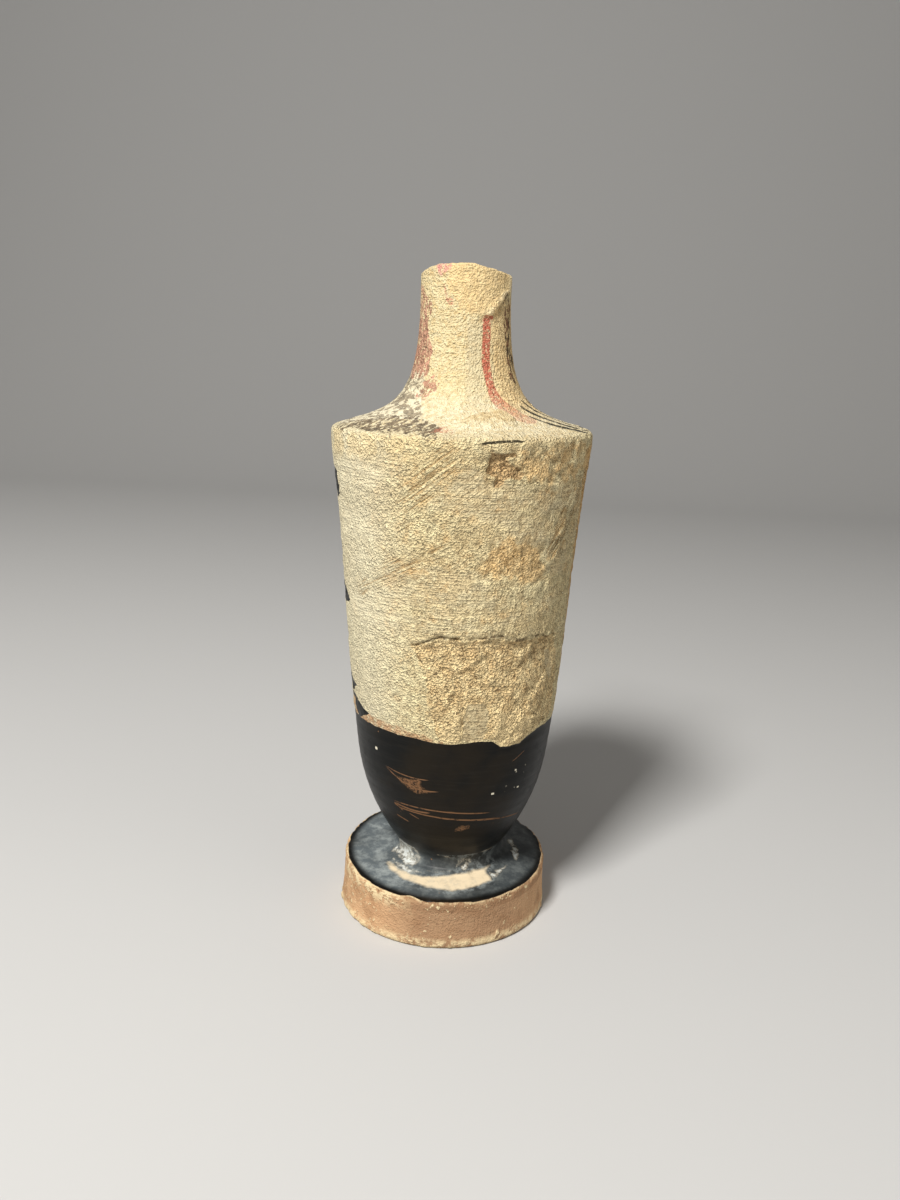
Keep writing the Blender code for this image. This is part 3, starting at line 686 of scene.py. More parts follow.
PINK_SPOT = [(-44, 156.5), (-16.4, 156.5), (-17, 154.4), (-24.7, 153.6), (-33, 152.6), (-39, 153.8)]
STRIPE_WIDTH = 2.3

on_shoulder = (height > SHOULDER_TOP_Z - 2.5) & (height < 134) & outer
dark_tongues = np.where(on_shoulder, from_above(DARK_TONGUES, 0.35, 1.0), FAR_OUTSIDE)
speckled = np.where(on_shoulder, from_above(SPECKLED_SHOULDER, 1.0), FAR_OUTSIDE)
neck_left = np.maximum(on_neck(NECK_LEFT, 1.2), on_neck(BLOTCH_UNDER_IT, 1.2))
neck_right = on_neck(NECK_RIGHT, 0.9)
stripe_angle = np.interp(-height, -RED_STRIPE[:, 1], RED_STRIPE[:, 0])
stripe_slant = np.interp(height, [121, 124, 127, 130], [0.35, 0.55, 0.8, 1.0])
beside_stripe = np.abs(np.radians(angle - stripe_angle)) * radius * stripe_slant
stripe_part = smooth_step((height - 121.6) / 2) * smooth_step((145.2 - height) / 0.5)
half_width = STRIPE_WIDTH / 2 + 0.7 * smooth_step((131 - height) / 7)
stripe_depth = (half_width - beside_stripe) * stripe_part - 2 * (1 - stripe_part)
red_stripe = np.where(outer & (radius < 26), stripe_depth, FAR_OUTSIDE)
red_spots = np.maximum(red_stripe, on_neck(RED_BAR, 0.2, 1.0))
faint_red = np.where(on_shoulder, from_above(RED_ON_SHOULDER, 0.8), FAR_OUTSIDE)
pink_spot = np.maximum(on_neck(PINK_SPOT, 0.3, 1.0), on_neck(RED_ON_SCAR, 0.3, 1.0))


# %% Flaked slip, and the stains on the foot
FLAKES = [
    [(-79, 111), (-72.5, 110.4), (-72, 107.4), (-71, 105.4), (-77, 104), (-83, 105.8), (-87, 108.4)],
    [(-82, 84), (-75, 83.4), (-66.0, 80.9), (-70, 80), (-80, 79), (-86, 80.4), (-91, 82.2)],
    [(-80, 61.4), (-72.6, 60.8), (-63.5, 59.8), (-70, 59.0), (-72.5, 57.5), (-80, 58.4), (-87, 59.4),
     (-84, 60.8)],
    [(-77, 57.6), (-66, 56.9), (-59.0, 55.3), (-51.5, 54.7), (-62.8, 52.2), (-66.8, 51.8), (-71.2, 54.4)],
]
CLAY_STRIP = [(-78, 56.3), (-70, 56.1), (-60, 55.3), (-51.5, 54.9), (-28.8, 54.1), (-20, 53.5),
              (-4, 52.4), (-4, 51), (-60, 51), (-78, 51)]
CRESCENT = [(-59, 18.2), (-50.7, 19.1), (-46, 19.4), (-34, 19.8), (-22, 20.3), (-12, 20.8), (-2, 21.0),
            (5, 21.3), (13, 21.1), (22, 20.6), (30, 20.0), (37, 20.2), (39, 18), (38, 16.4), (42, 15.4),
            (50, 14.6), (42, 14.3), (32.8, 14.2), (23, 14.3), (11, 14.6), (2, 15.0), (-10, 15.8),
            (-21, 16.7), (-31.5, 17.1), (-44, 16.8), (-56, 17.0)]
# Pale streaks by the stem: partly deposits, partly painted reflections of the glaze.
FOOT_STREAKS = [
    [(36, 19.4), (48, 18.6), (62, 17.8), (50, 16.8), (38, 16.6)],
    [(70, 19.2), (84, 19.0), (104, 17.0), (100, 15.2), (90, 16.2), (74, 17.0)],
    [(-76, 13.8), (-60, 12.9), (-44, 12.9), (-30, 13.6), (-36, 15.6), (-52, 15.4), (-70, 15.2)],
    [(-58, 16.0), (-44, 15.6), (-30, 15.8), (-20, 15.0), (-18, 16.1), (-32, 17.3), (-46, 17.2)],
    [(-30, 14.9), (-14, 14.7), (2, 14.0), (2, 14.5), (-14, 15.3), (-28, 15.5)],
    [(8, 13.6), (16, 14.3), (26, 13.7), (17, 13.2)],
]
BARE_BY_STEM = [(1.6, 27.4), (7, 29.1), (13.7, 29.2), (15.4, 28.0), (8.8, 27.1), (3.9, 26.9)]
ABRASION = [(-42.5, 42.9), (-36.3, 41.6), (-31, 41.2), (-23, 41.5), (-14.7, 41.6), (-18, 40.6),
            (-14.9, 39.2), (-6.2, 38.7), (-12, 38.1), (-20.7, 37.3), (-25.8, 38.1), (-30.9, 39.7),
            (-36.3, 41.2)]

flakes = np.maximum.reduce([on_wall(outline, 0.25, 1.0) for outline in FLAKES])
clay_strip = on_wall(CLAY_STRIP, 0.5)
bare_glaze = np.maximum(on_wall(BARE_BY_STEM, 0.3, 1.0), on_wall(ABRASION, 0.3, 1.0))
crescent = np.where(foot_top, from_above(CRESCENT, 0.4), FAR_OUTSIDE)
streaks = np.maximum.reduce([from_above(outline, 0.5) for outline in FOOT_STREAKS])
streaks = np.where(foot_top, streaks, FAR_OUTSIDE)
black_edge = FOOT_TOP_RADIUS - 0.6 + 0.25 * edge_noise[4.0] - 0.8 * np.exp(-(((angle + 18) / 4) ** 2))
inside_black_edge = np.where(height > FOOT_SIDE_HEIGHT - 3, black_edge - radius, FAR_OUTSIDE)

stored = {
    "height": height, "radius": radius, "relief": relief, "over_band": over_band, "over_crack": over_crack,
    "near_crack": near_crack, "patch": patch_depth, "smooth_in_patch": smooth_in_patch, "chip": chip_depth,
    "scar": scar_depth, "mound": mound_depth, "smooth_area": smooth_area, "ochre_area": ochre_area,
    **scraped_here, "crumb": crumb,
    "dark_tongues": dark_tongues, "speckled": speckled, "neck_left": neck_left, "neck_right": neck_right,
    "red_paint": red_spots, "faint_red": faint_red, "pink_spot": pink_spot, "flakes": flakes,
    "clay_strip": clay_strip, "tongues_of_clay": tongues_of_clay, "bare_glaze": bare_glaze,
    "crescent": crescent, "streaks": streaks, "inside_black_edge": inside_black_edge,
}
for name, values in stored.items():
    numbers = np.concatenate([values.ravel(), values[0, :1], values[-1, :1]]).astype(np.float32)
    mesh.attributes.new(name, "FLOAT", "POINT").data.foreach_set("value", numbers)
print(f"{len(stored)} attributes stored on the mesh")


# %% [markdown]
# ## Shader nodes, written short
#
# A material is a tree of nodes. These helpers add one or a few nodes to the tree that is being built, so
# that a finish reads like a recipe: a colour is laid over another by a mask, and a mask is a number that
# climbs from 0 to 1. An effect that is needed more than once is a node group, a tree of its own with
# named inputs and outputs.

# %% Nodes, links and groups
tree = None


def connect(result, socket):
    """Links a socket, or a node's first output, to an input. A plain value is set there instead."""
    if isinstance(result, bpy.types.Node):
        result = result.outputs[0]
    if isinstance(result, bpy.types.NodeSocket):
        tree.links.new(result, socket)
    else:
        socket.default_value = result


def node(kind, inputs=None, **settings):
    """Adds a shader node with its settings. Its inputs are values, sockets or nodes."""
    new = tree.nodes.new("ShaderNode" + kind)
    new.location = len(tree.nodes) % 12 * 200, -(len(tree.nodes) // 12) * 300
    for name, value in settings.items():
        setattr(new, name, value)
    for label, value in (inputs or {}).items():
        connect(value, new.inputs[label])
    return new


def new_group(name, **inputs):
    """Starts a node group with named inputs and returns them. None stands for a place in space."""
    global tree
    tree = bpy.data.node_groups.new(name, "ShaderNodeTree")
    for label, value in inputs.items():
        kind = "NodeSocketVector" if value is None else "NodeSocketFloat"
        socket = tree.interface.new_socket(label.replace("_", " "), in_out="INPUT", socket_type=kind)
        if value is not None:
            socket.default_value = value
    return tree.nodes.new("NodeGroupInput").outputs


def end_group(**results):
    """Puts out each result under its name, and returns the finished group."""
    for label in results:
        kind = "NodeSocketColor" if label == "Colour" else "NodeSocketFloat"
        tree.interface.new_socket(label, in_out="OUTPUT", socket_type=kind)
    sinks = tree.nodes.new("NodeGroupOutput").inputs
    for label, result in results.items():
        connect(result, sinks[label])
    return tree


def use(group, **inputs):
    """Places a node group, with its inputs by name. An underscore in a name stands for a space."""
    return node("Group", {name.replace("_", " "): value for name, value in inputs.items()}, node_tree=group)


# %% Arithmetic with nodes
def maths(operation, *values):
    """One step of arithmetic with values or nodes, by Blender's name for the step."""
    return node("Math", dict(enumerate(values)), operation=operation)


def chain(operation):
    """A helper that takes one step of arithmetic through all the values it is given."""

    def worked(first, *others):
        for other in others:
            first = maths(operation, first, other)
        return first

    return worked


times, plus, most = chain("MULTIPLY"), chain("ADD"), chain("MAXIMUM")


def minus(first, other):
    """The first value less the other."""
    return maths("SUBTRACT", first, other)


def without(mask):
    """The rest of the surface: 1 minus the mask."""
    return minus(1.0, mask)


def scaled(value, factor, more):
    """A value times a factor, plus one more value."""
    return maths("MULTIPLY_ADD", value, factor, more)


def size_of(value):
    """A value without its sign."""
    return maths("ABSOLUTE", value)


# %% Masks, noise and colours
def climb(value, low, high):
    """A mask that is 0 at the first value and 1 at the second, with a smooth climb between them."""
    return node("MapRange", {0: value, 1: low, 2: high}, interpolation_type="SMOOTHSTEP")


def between(value, start, full, still, stop):
    """A mask for a stretch: it climbs from start to full, stays at 1, and falls from still to stop."""
    return times(climb(value, start, full), climb(value, stop, still))


def noise(spot, size, detail=2.0, roughness=0.5):
    """Blender's noise, from 0 to 1, with features of about the given size in mm."""
    inputs = {"Vector": spot, "Scale": 1 / size, "Detail": detail, "Roughness": roughness}
    return node("TexNoise", inputs)


def patchy(spot, size, low, high, detail=4.0, roughness=0.7):
    """A mask in patches: noise of a size in mm, which climbs from the low value to the high one."""
    return climb(noise(spot, size, detail, roughness), low, high)


def drawn_out(spot, degrees, stretch):
    """Places for a pattern that is drawn out by a stretch along each axis and turned in plan."""
    inputs = {"Vector": spot, "Rotation": (0, 0, math.radians(degrees)), "Scale": stretch}
    return node("Mapping", inputs, vector_type="TEXTURE")


def shade(red, green, blue):
    """A colour as a screen shows it, 0 to 255, in the linear values that a shader wants."""
    screen = np.array([red, green, blue]) / 255
    linear = np.where(screen <= 0.04045, screen / 12.92, ((screen + 0.055) / 1.055) ** 2.4)
    return (*linear.tolist(), 1.0)


def mix(share, under, over, way="MIX"):
    """Lays one colour over another by a share from 0 to 1. A colour is an output or three numbers."""
    under, over = (shade(*each) if isinstance(each, tuple) else each for each in (under, over))
    return node("Mix", {0: share, 6: under, 7: over}, data_type="RGBA", blend_type=way).outputs[2]


# %% [markdown]
# ## Shared effects
#
# Six effects come back in the finishes: an edge that is ragged at a finer scale than the mesh, scattered
# specks, sandy grain, the fine level lines that a brush leaves on a turning pot, furrows side by side, and
# single thin scratches. Each one is a node group, built once and placed with its own values.


# %% Ragged edge, specks, grain
def build_ragged_edge():
    """A mask that is 1 inside an outline: its depth plus noise, softened over a short way."""
    given = new_group("ragged edge", Place=None, Depth=0.0, Raggedness=0.3, Size=1.0, Softness=0.15)
    scale = maths("DIVIDE", 1.0, given["Size"])
    rough = node("TexNoise", {"Vector": given["Place"], "Scale": scale, "Detail": 3.0, "Roughness": 0.6})
    swing = times(minus(rough, 0.5), given["Raggedness"])
    depth = scaled(swing, 4.0, given["Depth"])
    return end_group(Mask=climb(depth, 0.0, given["Softness"]))


def build_specks():
    """Scattered small spots: cells of a Voronoi pattern, of which only a share gets a spot."""
    given = new_group("specks", Place=None, Spacing=2.0, Size=0.3, Share=0.3)
    scale = maths("DIVIDE", 1.0, given["Spacing"])
    wobble = node("TexNoise", {"Vector": given["Place"], "Scale": times(scale, 3.0)})
    reach = times(given["Spacing"], 0.3)
    shift = node("VectorMath", {0: wobble.outputs[1], "Scale": reach}, operation="SCALE")
    spot = node("VectorMath", {0: given["Place"], 1: shift}, operation="ADD")
    cells = node("TexVoronoi", {"Vector": spot, "Scale": scale})
    chance = node("SeparateColor", {0: cells.outputs["Color"]})
    size = times(given["Size"], scaled(chance.outputs[1], 0.8, 0.3))
    spots = climb(cells.outputs["Distance"], size, times(size, 0.6))
    chosen = maths("LESS_THAN", chance, given["Share"])
    return end_group(Mask=times(spots, chosen))


def build_sandy_grain():
    """Grit: a tone to multiply a colour by, a height in mm, and a mask of thin crevices between the grains,
    for painted shade in them.

    A crevice lies where a third noise crosses its middle value, so crevices run on as broken lines.
    """
    given = new_group("sandy grain", Place=None, Strength=1.0)
    fine = minus(noise(given["Place"], 0.45, 1.0, 0.6), 0.5)
    coarse = minus(noise(given["Place"], 1.3, 2.0, 0.6), 0.5)
    crossing = size_of(minus(noise(given["Place"], 1.5, 2.0, 0.6), 0.5))
    broken = climb(coarse, 0.03, -0.05)
    shaded_crevices = times(climb(crossing, 0.035, 0.008), broken, given["Strength"])
    tone = scaled(coarse, 0.6, times(fine, 1.3))
    rise = scaled(coarse, 0.95, times(fine, 1.5))
    return end_group(
        Tone=scaled(tone, given["Strength"], 1.0),
        Height=scaled(shaded_crevices, -0.09, times(rise, given["Strength"])),
        Crevices=shaded_crevices,
    )


ragged_edge, specks, sandy_grain = build_ragged_edge(), build_specks(), build_sandy_grain()


# %% Wheel lines and scratches
def build_wheel_lines():
    """Level brush lines round the pot: noise squeezed in height and drawn out round the wall."""
    given = new_group("wheel lines", Place=None, Spacing=0.8)
    up = maths("DIVIDE", 1.0, given["Spacing"])
    squeeze = node("CombineXYZ", {0: 0.12, 1: 0.12, 2: up})
    squeezed = node("VectorMath", {0: given["Place"], 1: squeeze}, operation="MULTIPLY")
    return end_group(Lines=noise(squeezed, 1.0, 2.0, 0.6))


def build_scrape_marks():
    """Furrows side by side on the unrolled wall, climbing at a steepness in degrees.

    The wall's own two directions are turned by the steepness, so that one runs along the furrows and
    one across them, and noise is read with the first of them squeezed.
    """
    given = new_group("scrape marks", Turn=0.0, Up=0.0, Steepness=30.0, Spacing=1.0)
    across = times(given["Turn"], WALL_SCALE)
    slant = maths("RADIANS", given["Steepness"])
    sine, cosine = maths("SINE", slant), maths("COSINE", slant)
    along = plus(times(across, cosine), times(given["Up"], sine))
    beside = minus(times(given["Up"], cosine), times(across, sine))
    lane = maths("DIVIDE", beside, given["Spacing"])
    spot = node("CombineXYZ", {0: times(along, 0.14), 1: lane})
    return end_group(Lines=patchy(spot, 1.0, 0.36, 0.64, 2.0, 0.6))


def build_scratch():
    """A thin bowed line on the wall between two turns, thinning out at both ends.

    Its height is a straight run between the ends plus a bow, which is greatest half way, and the mask
    is 1 where the wall's own height is within half a width of it.
    """
    given = new_group("scratch", Turn=0.0, Height=0.0, From_turn=0.0, To_turn=10.0, From_height=0.0,
                      To_height=0.0, Bow=0.0, Width=0.3)
    part = node("MapRange", {0: given["Turn"], 1: given["From turn"], 2: given["To turn"]}, clamp=True)
    arch = times(part, without(part), 4.0)
    run = node("MapRange", {0: part, 3: given["From height"], 4: given["To height"]})
    line = scaled(arch, given["Bow"], run)
    gap = size_of(minus(given["Height"], line))
    width = times(given["Width"], climb(arch, 0.0, 0.5))
    return end_group(Mask=climb(gap, width, times(width, 0.4)))


wheel_lines, scrape_marks, scratch = build_wheel_lines(), build_scrape_marks(), build_scratch()


# %% [markdown]
# ## Three finishes
#
# The slip is a thin coat of fine pale clay. Worn, it is sandy to the touch, creamy where it is thick,
# greyer where it was burnished, and ochre where the clay under it shows. The glaze is a clay coat too,
# fired black and smooth, with a soft sheen and brush lines. The bare clay is coarser and warmer. Each
# finish is a group that puts out a colour, a roughness and a height in mm for the bump.


# %% Cream slip
def build_cream_slip():
    """Cream with slow changes of warmth, level lines, thin ochre places, grit, and painted shade in its
    crevices and pinholes.

    Greyness brings out the lines and smooths the grit. Ochre warms the colour and coarsens the grit.
    """
    given = new_group("cream slip", Place=None, Greyness=0.0, Ochre=0.0, Wear=1.0)
    spot, grey, ochre = given["Place"], given["Greyness"], given["Ochre"]
    colour = mix(patchy(spot, 15.0, 0.35, 0.65, 2.0, 0.5), (240, 226, 180), (228, 210, 164))
    lines = use(wheel_lines, Place=spot, Spacing=0.5)
    lined = climb(lines, 0.4, 0.62)
    lined_share = scaled(grey, 0.5, 0.12)
    colour = mix(times(lined, lined_share), colour, (178, 164, 134))
    colour = mix(times(grey, 0.45), colour, (206, 193, 158))
    thick = patchy(spot, 2.6, 0.42, 0.56, 5.0, 0.65)
    thin = times(without(thick), given["Wear"])
    thin_share = scaled(ochre, 0.3, 0.24)
    colour = mix(times(thin, thin_share), colour, (212, 180, 126))
    patches = scaled(ochre, 0.26, noise(spot, 4.0, 5.0, 0.7))
    colour = mix(times(climb(patches, 0.52, 0.76), 0.6), colour, (224, 180, 118))
    grain = use(sandy_grain, Place=spot, Strength=given["Wear"])
    colour = mix(1.0, colour, grain.outputs["Tone"], "MULTIPLY")
    # Painted shade in the crevices of the grit.
    shaded_crevices = times(grain.outputs["Crevices"], scaled(ochre, 0.45, 0.34))
    colour = mix(shaded_crevices, colour, (120, 90, 54))
    # Painted shade in small pinholes.
    shaded_pinholes = use(specks, Place=spot, Spacing=2.4, Size=0.16, Share=0.3)
    colour = mix(times(shaded_pinholes, 0.75), colour, (70, 54, 36))
    height = times(grain.outputs["Height"], scaled(grey, -0.55, 1.0))
    height = scaled(thin, -0.12, height)
    height = scaled(times(lined, scaled(grey, 1.2, 0.35)), -0.15, height)
    height = scaled(shaded_pinholes, -0.1, height)
    return end_group(Colour=colour, Roughness=scaled(grey, -0.12, 0.86), Height=height)


# %% Black glaze and bare clay
def build_black_glaze():
    """Near black, browner where it is thin, with a grey film that is also painted sheen, level lines and
    gloss.
    """
    given = new_group("black glaze", Place=None, Thinness=0.0, Film=0.0)
    spot = given["Place"]
    cloudy = noise(spot, 7.0, 3.0)
    thin = climb(scaled(given["Thinness"], 0.3, cloudy), 0.5, 0.9)
    colour = mix(thin, (13, 14, 14), (29, 24, 17))
    lines = use(wheel_lines, Place=spot, Spacing=0.5)
    colour = mix(times(climb(lines, 0.5, 0.75), 0.3), colour, (40, 37, 32))
    # The grey film, which on the foot's top also stands for painted sheen.
    film_and_sheen = times(given["Film"], patchy(spot, 10.0, 0.1, 0.62, 3.0, 0.5))
    smeared = patchy(spot, 3.0, 0.4, 0.7)
    colour = mix(film_and_sheen, colour, mix(smeared, (100, 108, 112), (150, 157, 157)))
    roughness = scaled(lines, 0.16, 0.3)
    dusty = patchy(spot, 2.2, 0.5, 0.75)
    roughness = scaled(dusty, 0.1, roughness)
    return end_group(
        Colour=colour,
        Roughness=scaled(film_and_sheen, 0.06, roughness),
        Height=scaled(lines, 0.02, times(cloudy, 0.1)),
    )


def build_bare_clay():
    """Warm fired clay, blotched, with fine grit, a little pale dust and small pits, darkened as painted
    shade.
    """
    given = new_group("bare clay", Place=None, Paleness=0.0)
    spot = given["Place"]
    blotch = patchy(spot, 6.0, 0.35, 0.7, 4.0, 0.6)
    colour = mix(blotch, (212, 172, 132), (192, 150, 112))
    dust = climb(scaled(given["Paleness"], 0.3, noise(spot, 2.0, 4.0, 0.7)), 0.58, 0.8)
    colour = mix(times(dust, 0.6), colour, (230, 206, 160))
    grain = use(sandy_grain, Place=spot, Strength=0.22)
    colour = mix(1.0, colour, grain.outputs["Tone"], "MULTIPLY")
    # Painted shade in small pits.
    pits = use(specks, Place=spot, Spacing=1.8, Size=0.22, Share=0.2)
    colour = mix(times(pits, 0.7), colour, (112, 80, 54))
    return end_group(
        Colour=colour,
        Roughness=scaled(dust, 0.1, 0.72),
        Height=scaled(pits, -0.12, grain.outputs["Height"]),
    )


cream_slip, black_glaze, bare_clay = build_cream_slip(), build_black_glaze(), build_bare_clay()
BARED_CLAY = (166, 122, 86)
PALE_CLAY = (250, 226, 174)
print("node groups:", [group.name for group in bpy.data.node_groups])


# %% [markdown]
# ## The painted pot
#
# Two materials cover the outside, because one for all of it would be too large for the renderer. The
# painted clay carries the slip, what is left of the paint, and the upper edge of the black band. The other
# carries the glaze below it and the foot. They meet where both are plain black glaze, so no seam shows.
# Each starts from one finish and lays the others over it with a worn edge.

# %% A material, its places and its surface
def new_finish(name):
    """Starts a material. Returns it with the point in mm and the turn round the pot in degrees."""
    global tree
    finish = bpy.data.materials.new(name)
    finish.use_nodes = True
    tree = finish.node_tree
    object_place = node("TexCoord").outputs["Object"]
    spot = node("VectorMath", {0: object_place, "Scale": 1 / MILLIMETRE}, operation="SCALE")
    unrolled = node("SeparateXYZ", {0: node("UVMap", uv_map="unrolled")})
    return finish, spot, scaled(unrolled, 360.0, -180.0)


def read(name):
    """A depth or place stored on the mesh, as a node's output."""
    return node("Attribute", attribute_name=name).outputs["Fac"]


def edge(depth, raggedness, size, softness):
    """The ragged edge group, on one of the stored depths."""
    return use(ragged_edge, Place=spot, Depth=read(depth), Raggedness=raggedness, Size=size,
               Softness=softness)


def coat(over, *shares):
    """Lays a colour over all that has been painted so far, by the product of its masks."""
    global colour
    colour = mix(times(*shares), colour, over)


def finish_surface(finish, roughness, height):
    """Connects the painted colour, a roughness and a height in mm to the surface of a material."""
    surface = tree.nodes["Principled BSDF"]
    surface.inputs["Specular IOR Level"].default_value = 0.14
    bumps = node("Bump", {"Strength": 1.0, "Distance": MILLIMETRE, "Height": height})
    for label, result in (("Base Color", colour), ("Roughness", roughness), ("Normal", bumps)):
        connect(result, surface.inputs[label])
    print(f"{finish.name}: {len(tree.nodes)} nodes")


# %% [markdown]
# ### Slip
#
# The slip is greyer in the middle of the body, where it was burnished, and warmer where it is thin: over
# the ochre area, in a strip down the right and along the scrapes. The shoulder, the neck and the left
# side are paler and cooler. On the left side and on the rim under the shoulder at the left, part of
# that paleness is painted light, where the wall faces the lamp.

# %% Slip
painted, spot, turn_here = new_finish("painted clay")
up = read("height")
on_top = climb(up, 119.0, 122.0)
in_smooth = edge("smooth_in_patch", 0.1, 1.0, 0.4)
grey_zone = climb(noise(drawn_out(spot, 0, (1.6, 1.6, 0.6)), 14.0, 3.0), 0.4, 0.56)
grey_zone = times(grey_zone, between(up, 68.0, 80.0, 112.0, 122.0), 0.9)
greyness = most(grey_zone, edge("smooth_area", 0.5, 2.0, 1.0), in_smooth)
strip_edge = scaled(up, -0.19, 92.0)
ragged_turn = scaled(noise(spot, 12.0, 4.0, 0.6), 90.0, plus(turn_here, -45.0))
ochre_strip = times(climb(minus(turn_here, strip_edge), -2.0, 4.0), climb(ragged_turn, 118.0, 82.0),
                    climb(up, 119.0, 116.0))
ochre_soft = edge("ochre_area", 1.1, 3.0, 3.5)
scraped = most(*(read(name) for name in SCRAPES))
ochre = most(ochre_soft, ochre_strip, times(scraped, 0.25))
greyness = times(greyness, without(ochre))
slip = use(cream_slip, Place=spot, Greyness=greyness, Ochre=ochre, Wear=scaled(on_top, -0.55, 1.0))
colour, roughness, bump = slip.outputs["Colour"], slip.outputs["Roughness"], slip.outputs["Height"]

# %% Paler and warmer stretches of the slip
mottled = patchy(spot, 1.0, 0.4, 0.62, 4.0, 0.75)
coat(mix(mottled, (214, 201, 165), (196, 171, 123)), on_top, 0.55)
coat(mix(mottled, (238, 234, 212), (214, 200, 166)), on_top, climb(up, 131.0, 124.0), 0.5)
# Paler, cooler cream on the left side: partly the slip's own tone, partly painted light on the side that
# faces the lamp.
cool_and_lit_left = times(between(turn_here, -130.0, -100.0, -52.0, -14.0), without(on_top))
coat((246, 239, 210), cool_and_lit_left, 0.6)
coat((216, 168, 106), ochre_strip, 0.5)
# A warm tint along the rim under the shoulder at the left, lightened as painted light where the rim turns
# towards the lamp.
warm_and_lit_left_rim = times(between(up, 112.5, 116.5, 119.6, 120.6), between(turn_here, -110.0, -84.0, -12.0, 6.0))
coat((248, 222, 168), warm_and_lit_left_rim, patchy(spot, 5.0, 0.38, 0.54, 4.0, 0.6), 0.55)

# %% [markdown]
# ### Scrapes, rough clay and scars
#
# Each band of scrapes has its own steepness. Furrows get painted shade in their depth and a painted
# highlight on their crests.
# Rough clay shows where flakes are lost, and the chip, the scars and the crack are tinted over it, with
# painted shade in the chip's cracks, on its upper and left rim, along the crack, in sunk places and under
# the scar's lip, and a painted highlight on the lip.

# %% Scrapes
SPACING_AND_STRENGTH = {"scrape_left": (0.5, 1.0), "scrape_low": (0.45, 1.0), "scrape_right": (0.5, 1.5)}

anywhere = times(patchy(spot, 8.0, 0.42, 0.58, 2.0, 0.5), climb(up, 74.0, 84.0), without(on_top), 0.4)
marks = []
for name, (spacing, strength) in SPACING_AND_STRENGTH.items():
    steepness = float(SCRAPES[name][0])
    lines = use(scrape_marks, Turn=turn_here, Up=up, Steepness=steepness, Spacing=spacing)
    marked = most(read(name), anywhere) if name == "scrape_left" else read(name)
    marks.append(times(marked, minus(lines, 0.5), strength))
marks = plus(*marks)
# Painted shade in the furrows and a painted highlight on their crests.
coat((186, 150, 100), climb(marks, -0.05, -0.5), 0.6)
coat((244, 228, 182), climb(marks, 0.1, 0.6), 0.4)
bump = scaled(marks, 0.36, bump)

# %% Rough clay
in_patch = times(edge("patch", 0.35, 1.5, 0.7), without(in_smooth))
rough_clay = mix(patchy(spot, 2.4, 0.36, 0.64, 5.0, 0.75), PALE_CLAY, (232, 199, 145))
rough_grain = use(sandy_grain, Place=drawn_out(spot, 0, (1.2, 1.2, 1.2)), Strength=1.3)
rough_clay = mix(1.0, rough_clay, rough_grain.outputs["Tone"], "MULTIPLY")
# Painted shade in the crevices of the rough clay.
rough_clay = mix(times(rough_grain.outputs["Crevices"], 0.55), rough_clay, (118, 82, 46))
coat(rough_clay, in_patch, 0.85)
coat(rough_clay, ochre_soft, patchy(spot, 2.0, 0.42, 0.6), 0.6)
coat(PALE_CLAY, edge("tongues_of_clay", 0.2, 1.0, 0.6), 0.6)
coat((176, 156, 120), in_smooth, 0.5)

# %% Chip, scars and crack
in_chip, in_scar, scar_depth_here = edge("chip", 0.3, 1.0, 0.4), edge("scar", 0.2, 1.0, 0.8), read("scar")
coat(mix(0.65, rough_clay, (196, 154, 104)), in_chip, 0.78)
# Painted shade in the chip's cracks, and a painted shadow on its upper and left rim, which face away from the
# lamp.
chip_crack_shade = climb(size_of(minus(noise(spot, 3.4, 3.0, 0.6), 0.5)), 0.022, 0.008)
chip_rim_shadow = times(climb(read("chip"), 0.9, 0.2), most(climb(up, 116.2, 116.9), climb(turn_here, 14.0, 12.0)))
coat((100, 70, 42), in_chip, most(chip_crack_shade, times(chip_rim_shadow, 0.55)), 0.7)
coat(mix(0.6, rough_clay, (212, 182, 130)), in_scar, 0.65)
# A painted highlight along the lip of the neck's scar, and a painted shadow just under it.
lip = times(between(scar_depth_here, 0.1, 0.6, 1.1, 2.0), between(turn_here, 18.0, 30.0, 70.0, 78.0))
shadow_under_lip = times(between(scar_depth_here, -1.1, -0.4, -0.2, 0.1), between(turn_here, 30.0, 42.0, 70.0, 78.0))
coat((246, 230, 190), lip, 0.6)
coat((140, 108, 72), shadow_under_lip, 0.5)
mound_rim = times(edge("mound", 0.6, 1.5, 1.2), climb(read("mound"), 5.0, 3.6), climb(turn_here, 40.0, 26.0),
                  climb(read("radius"), 24.5, 21.0))
coat(mix(mottled, (214, 192, 146), (186, 160, 114)), mound_rim, 0.75)
# Painted shade along the crack over the patch.
crack_shade_line = times(climb(size_of(read("over_crack")), 0.5, 0.1), read("near_crack"))
coat((84, 58, 34), crack_shade_line, patchy(spot, 3.0, 0.42, 0.58, 3.0), 0.75)
# Painted shade where the relief is sunk deepest.
coat((140, 104, 66), climb(read("relief"), -0.6, -1.2), 0.25)

# %% [markdown]
# ### What is left of the paint
#
# Worn paint is laid over the clay as flecks: noise drawn out along the strokes decides where it has gone.
# The thin black lines and the black band come last.

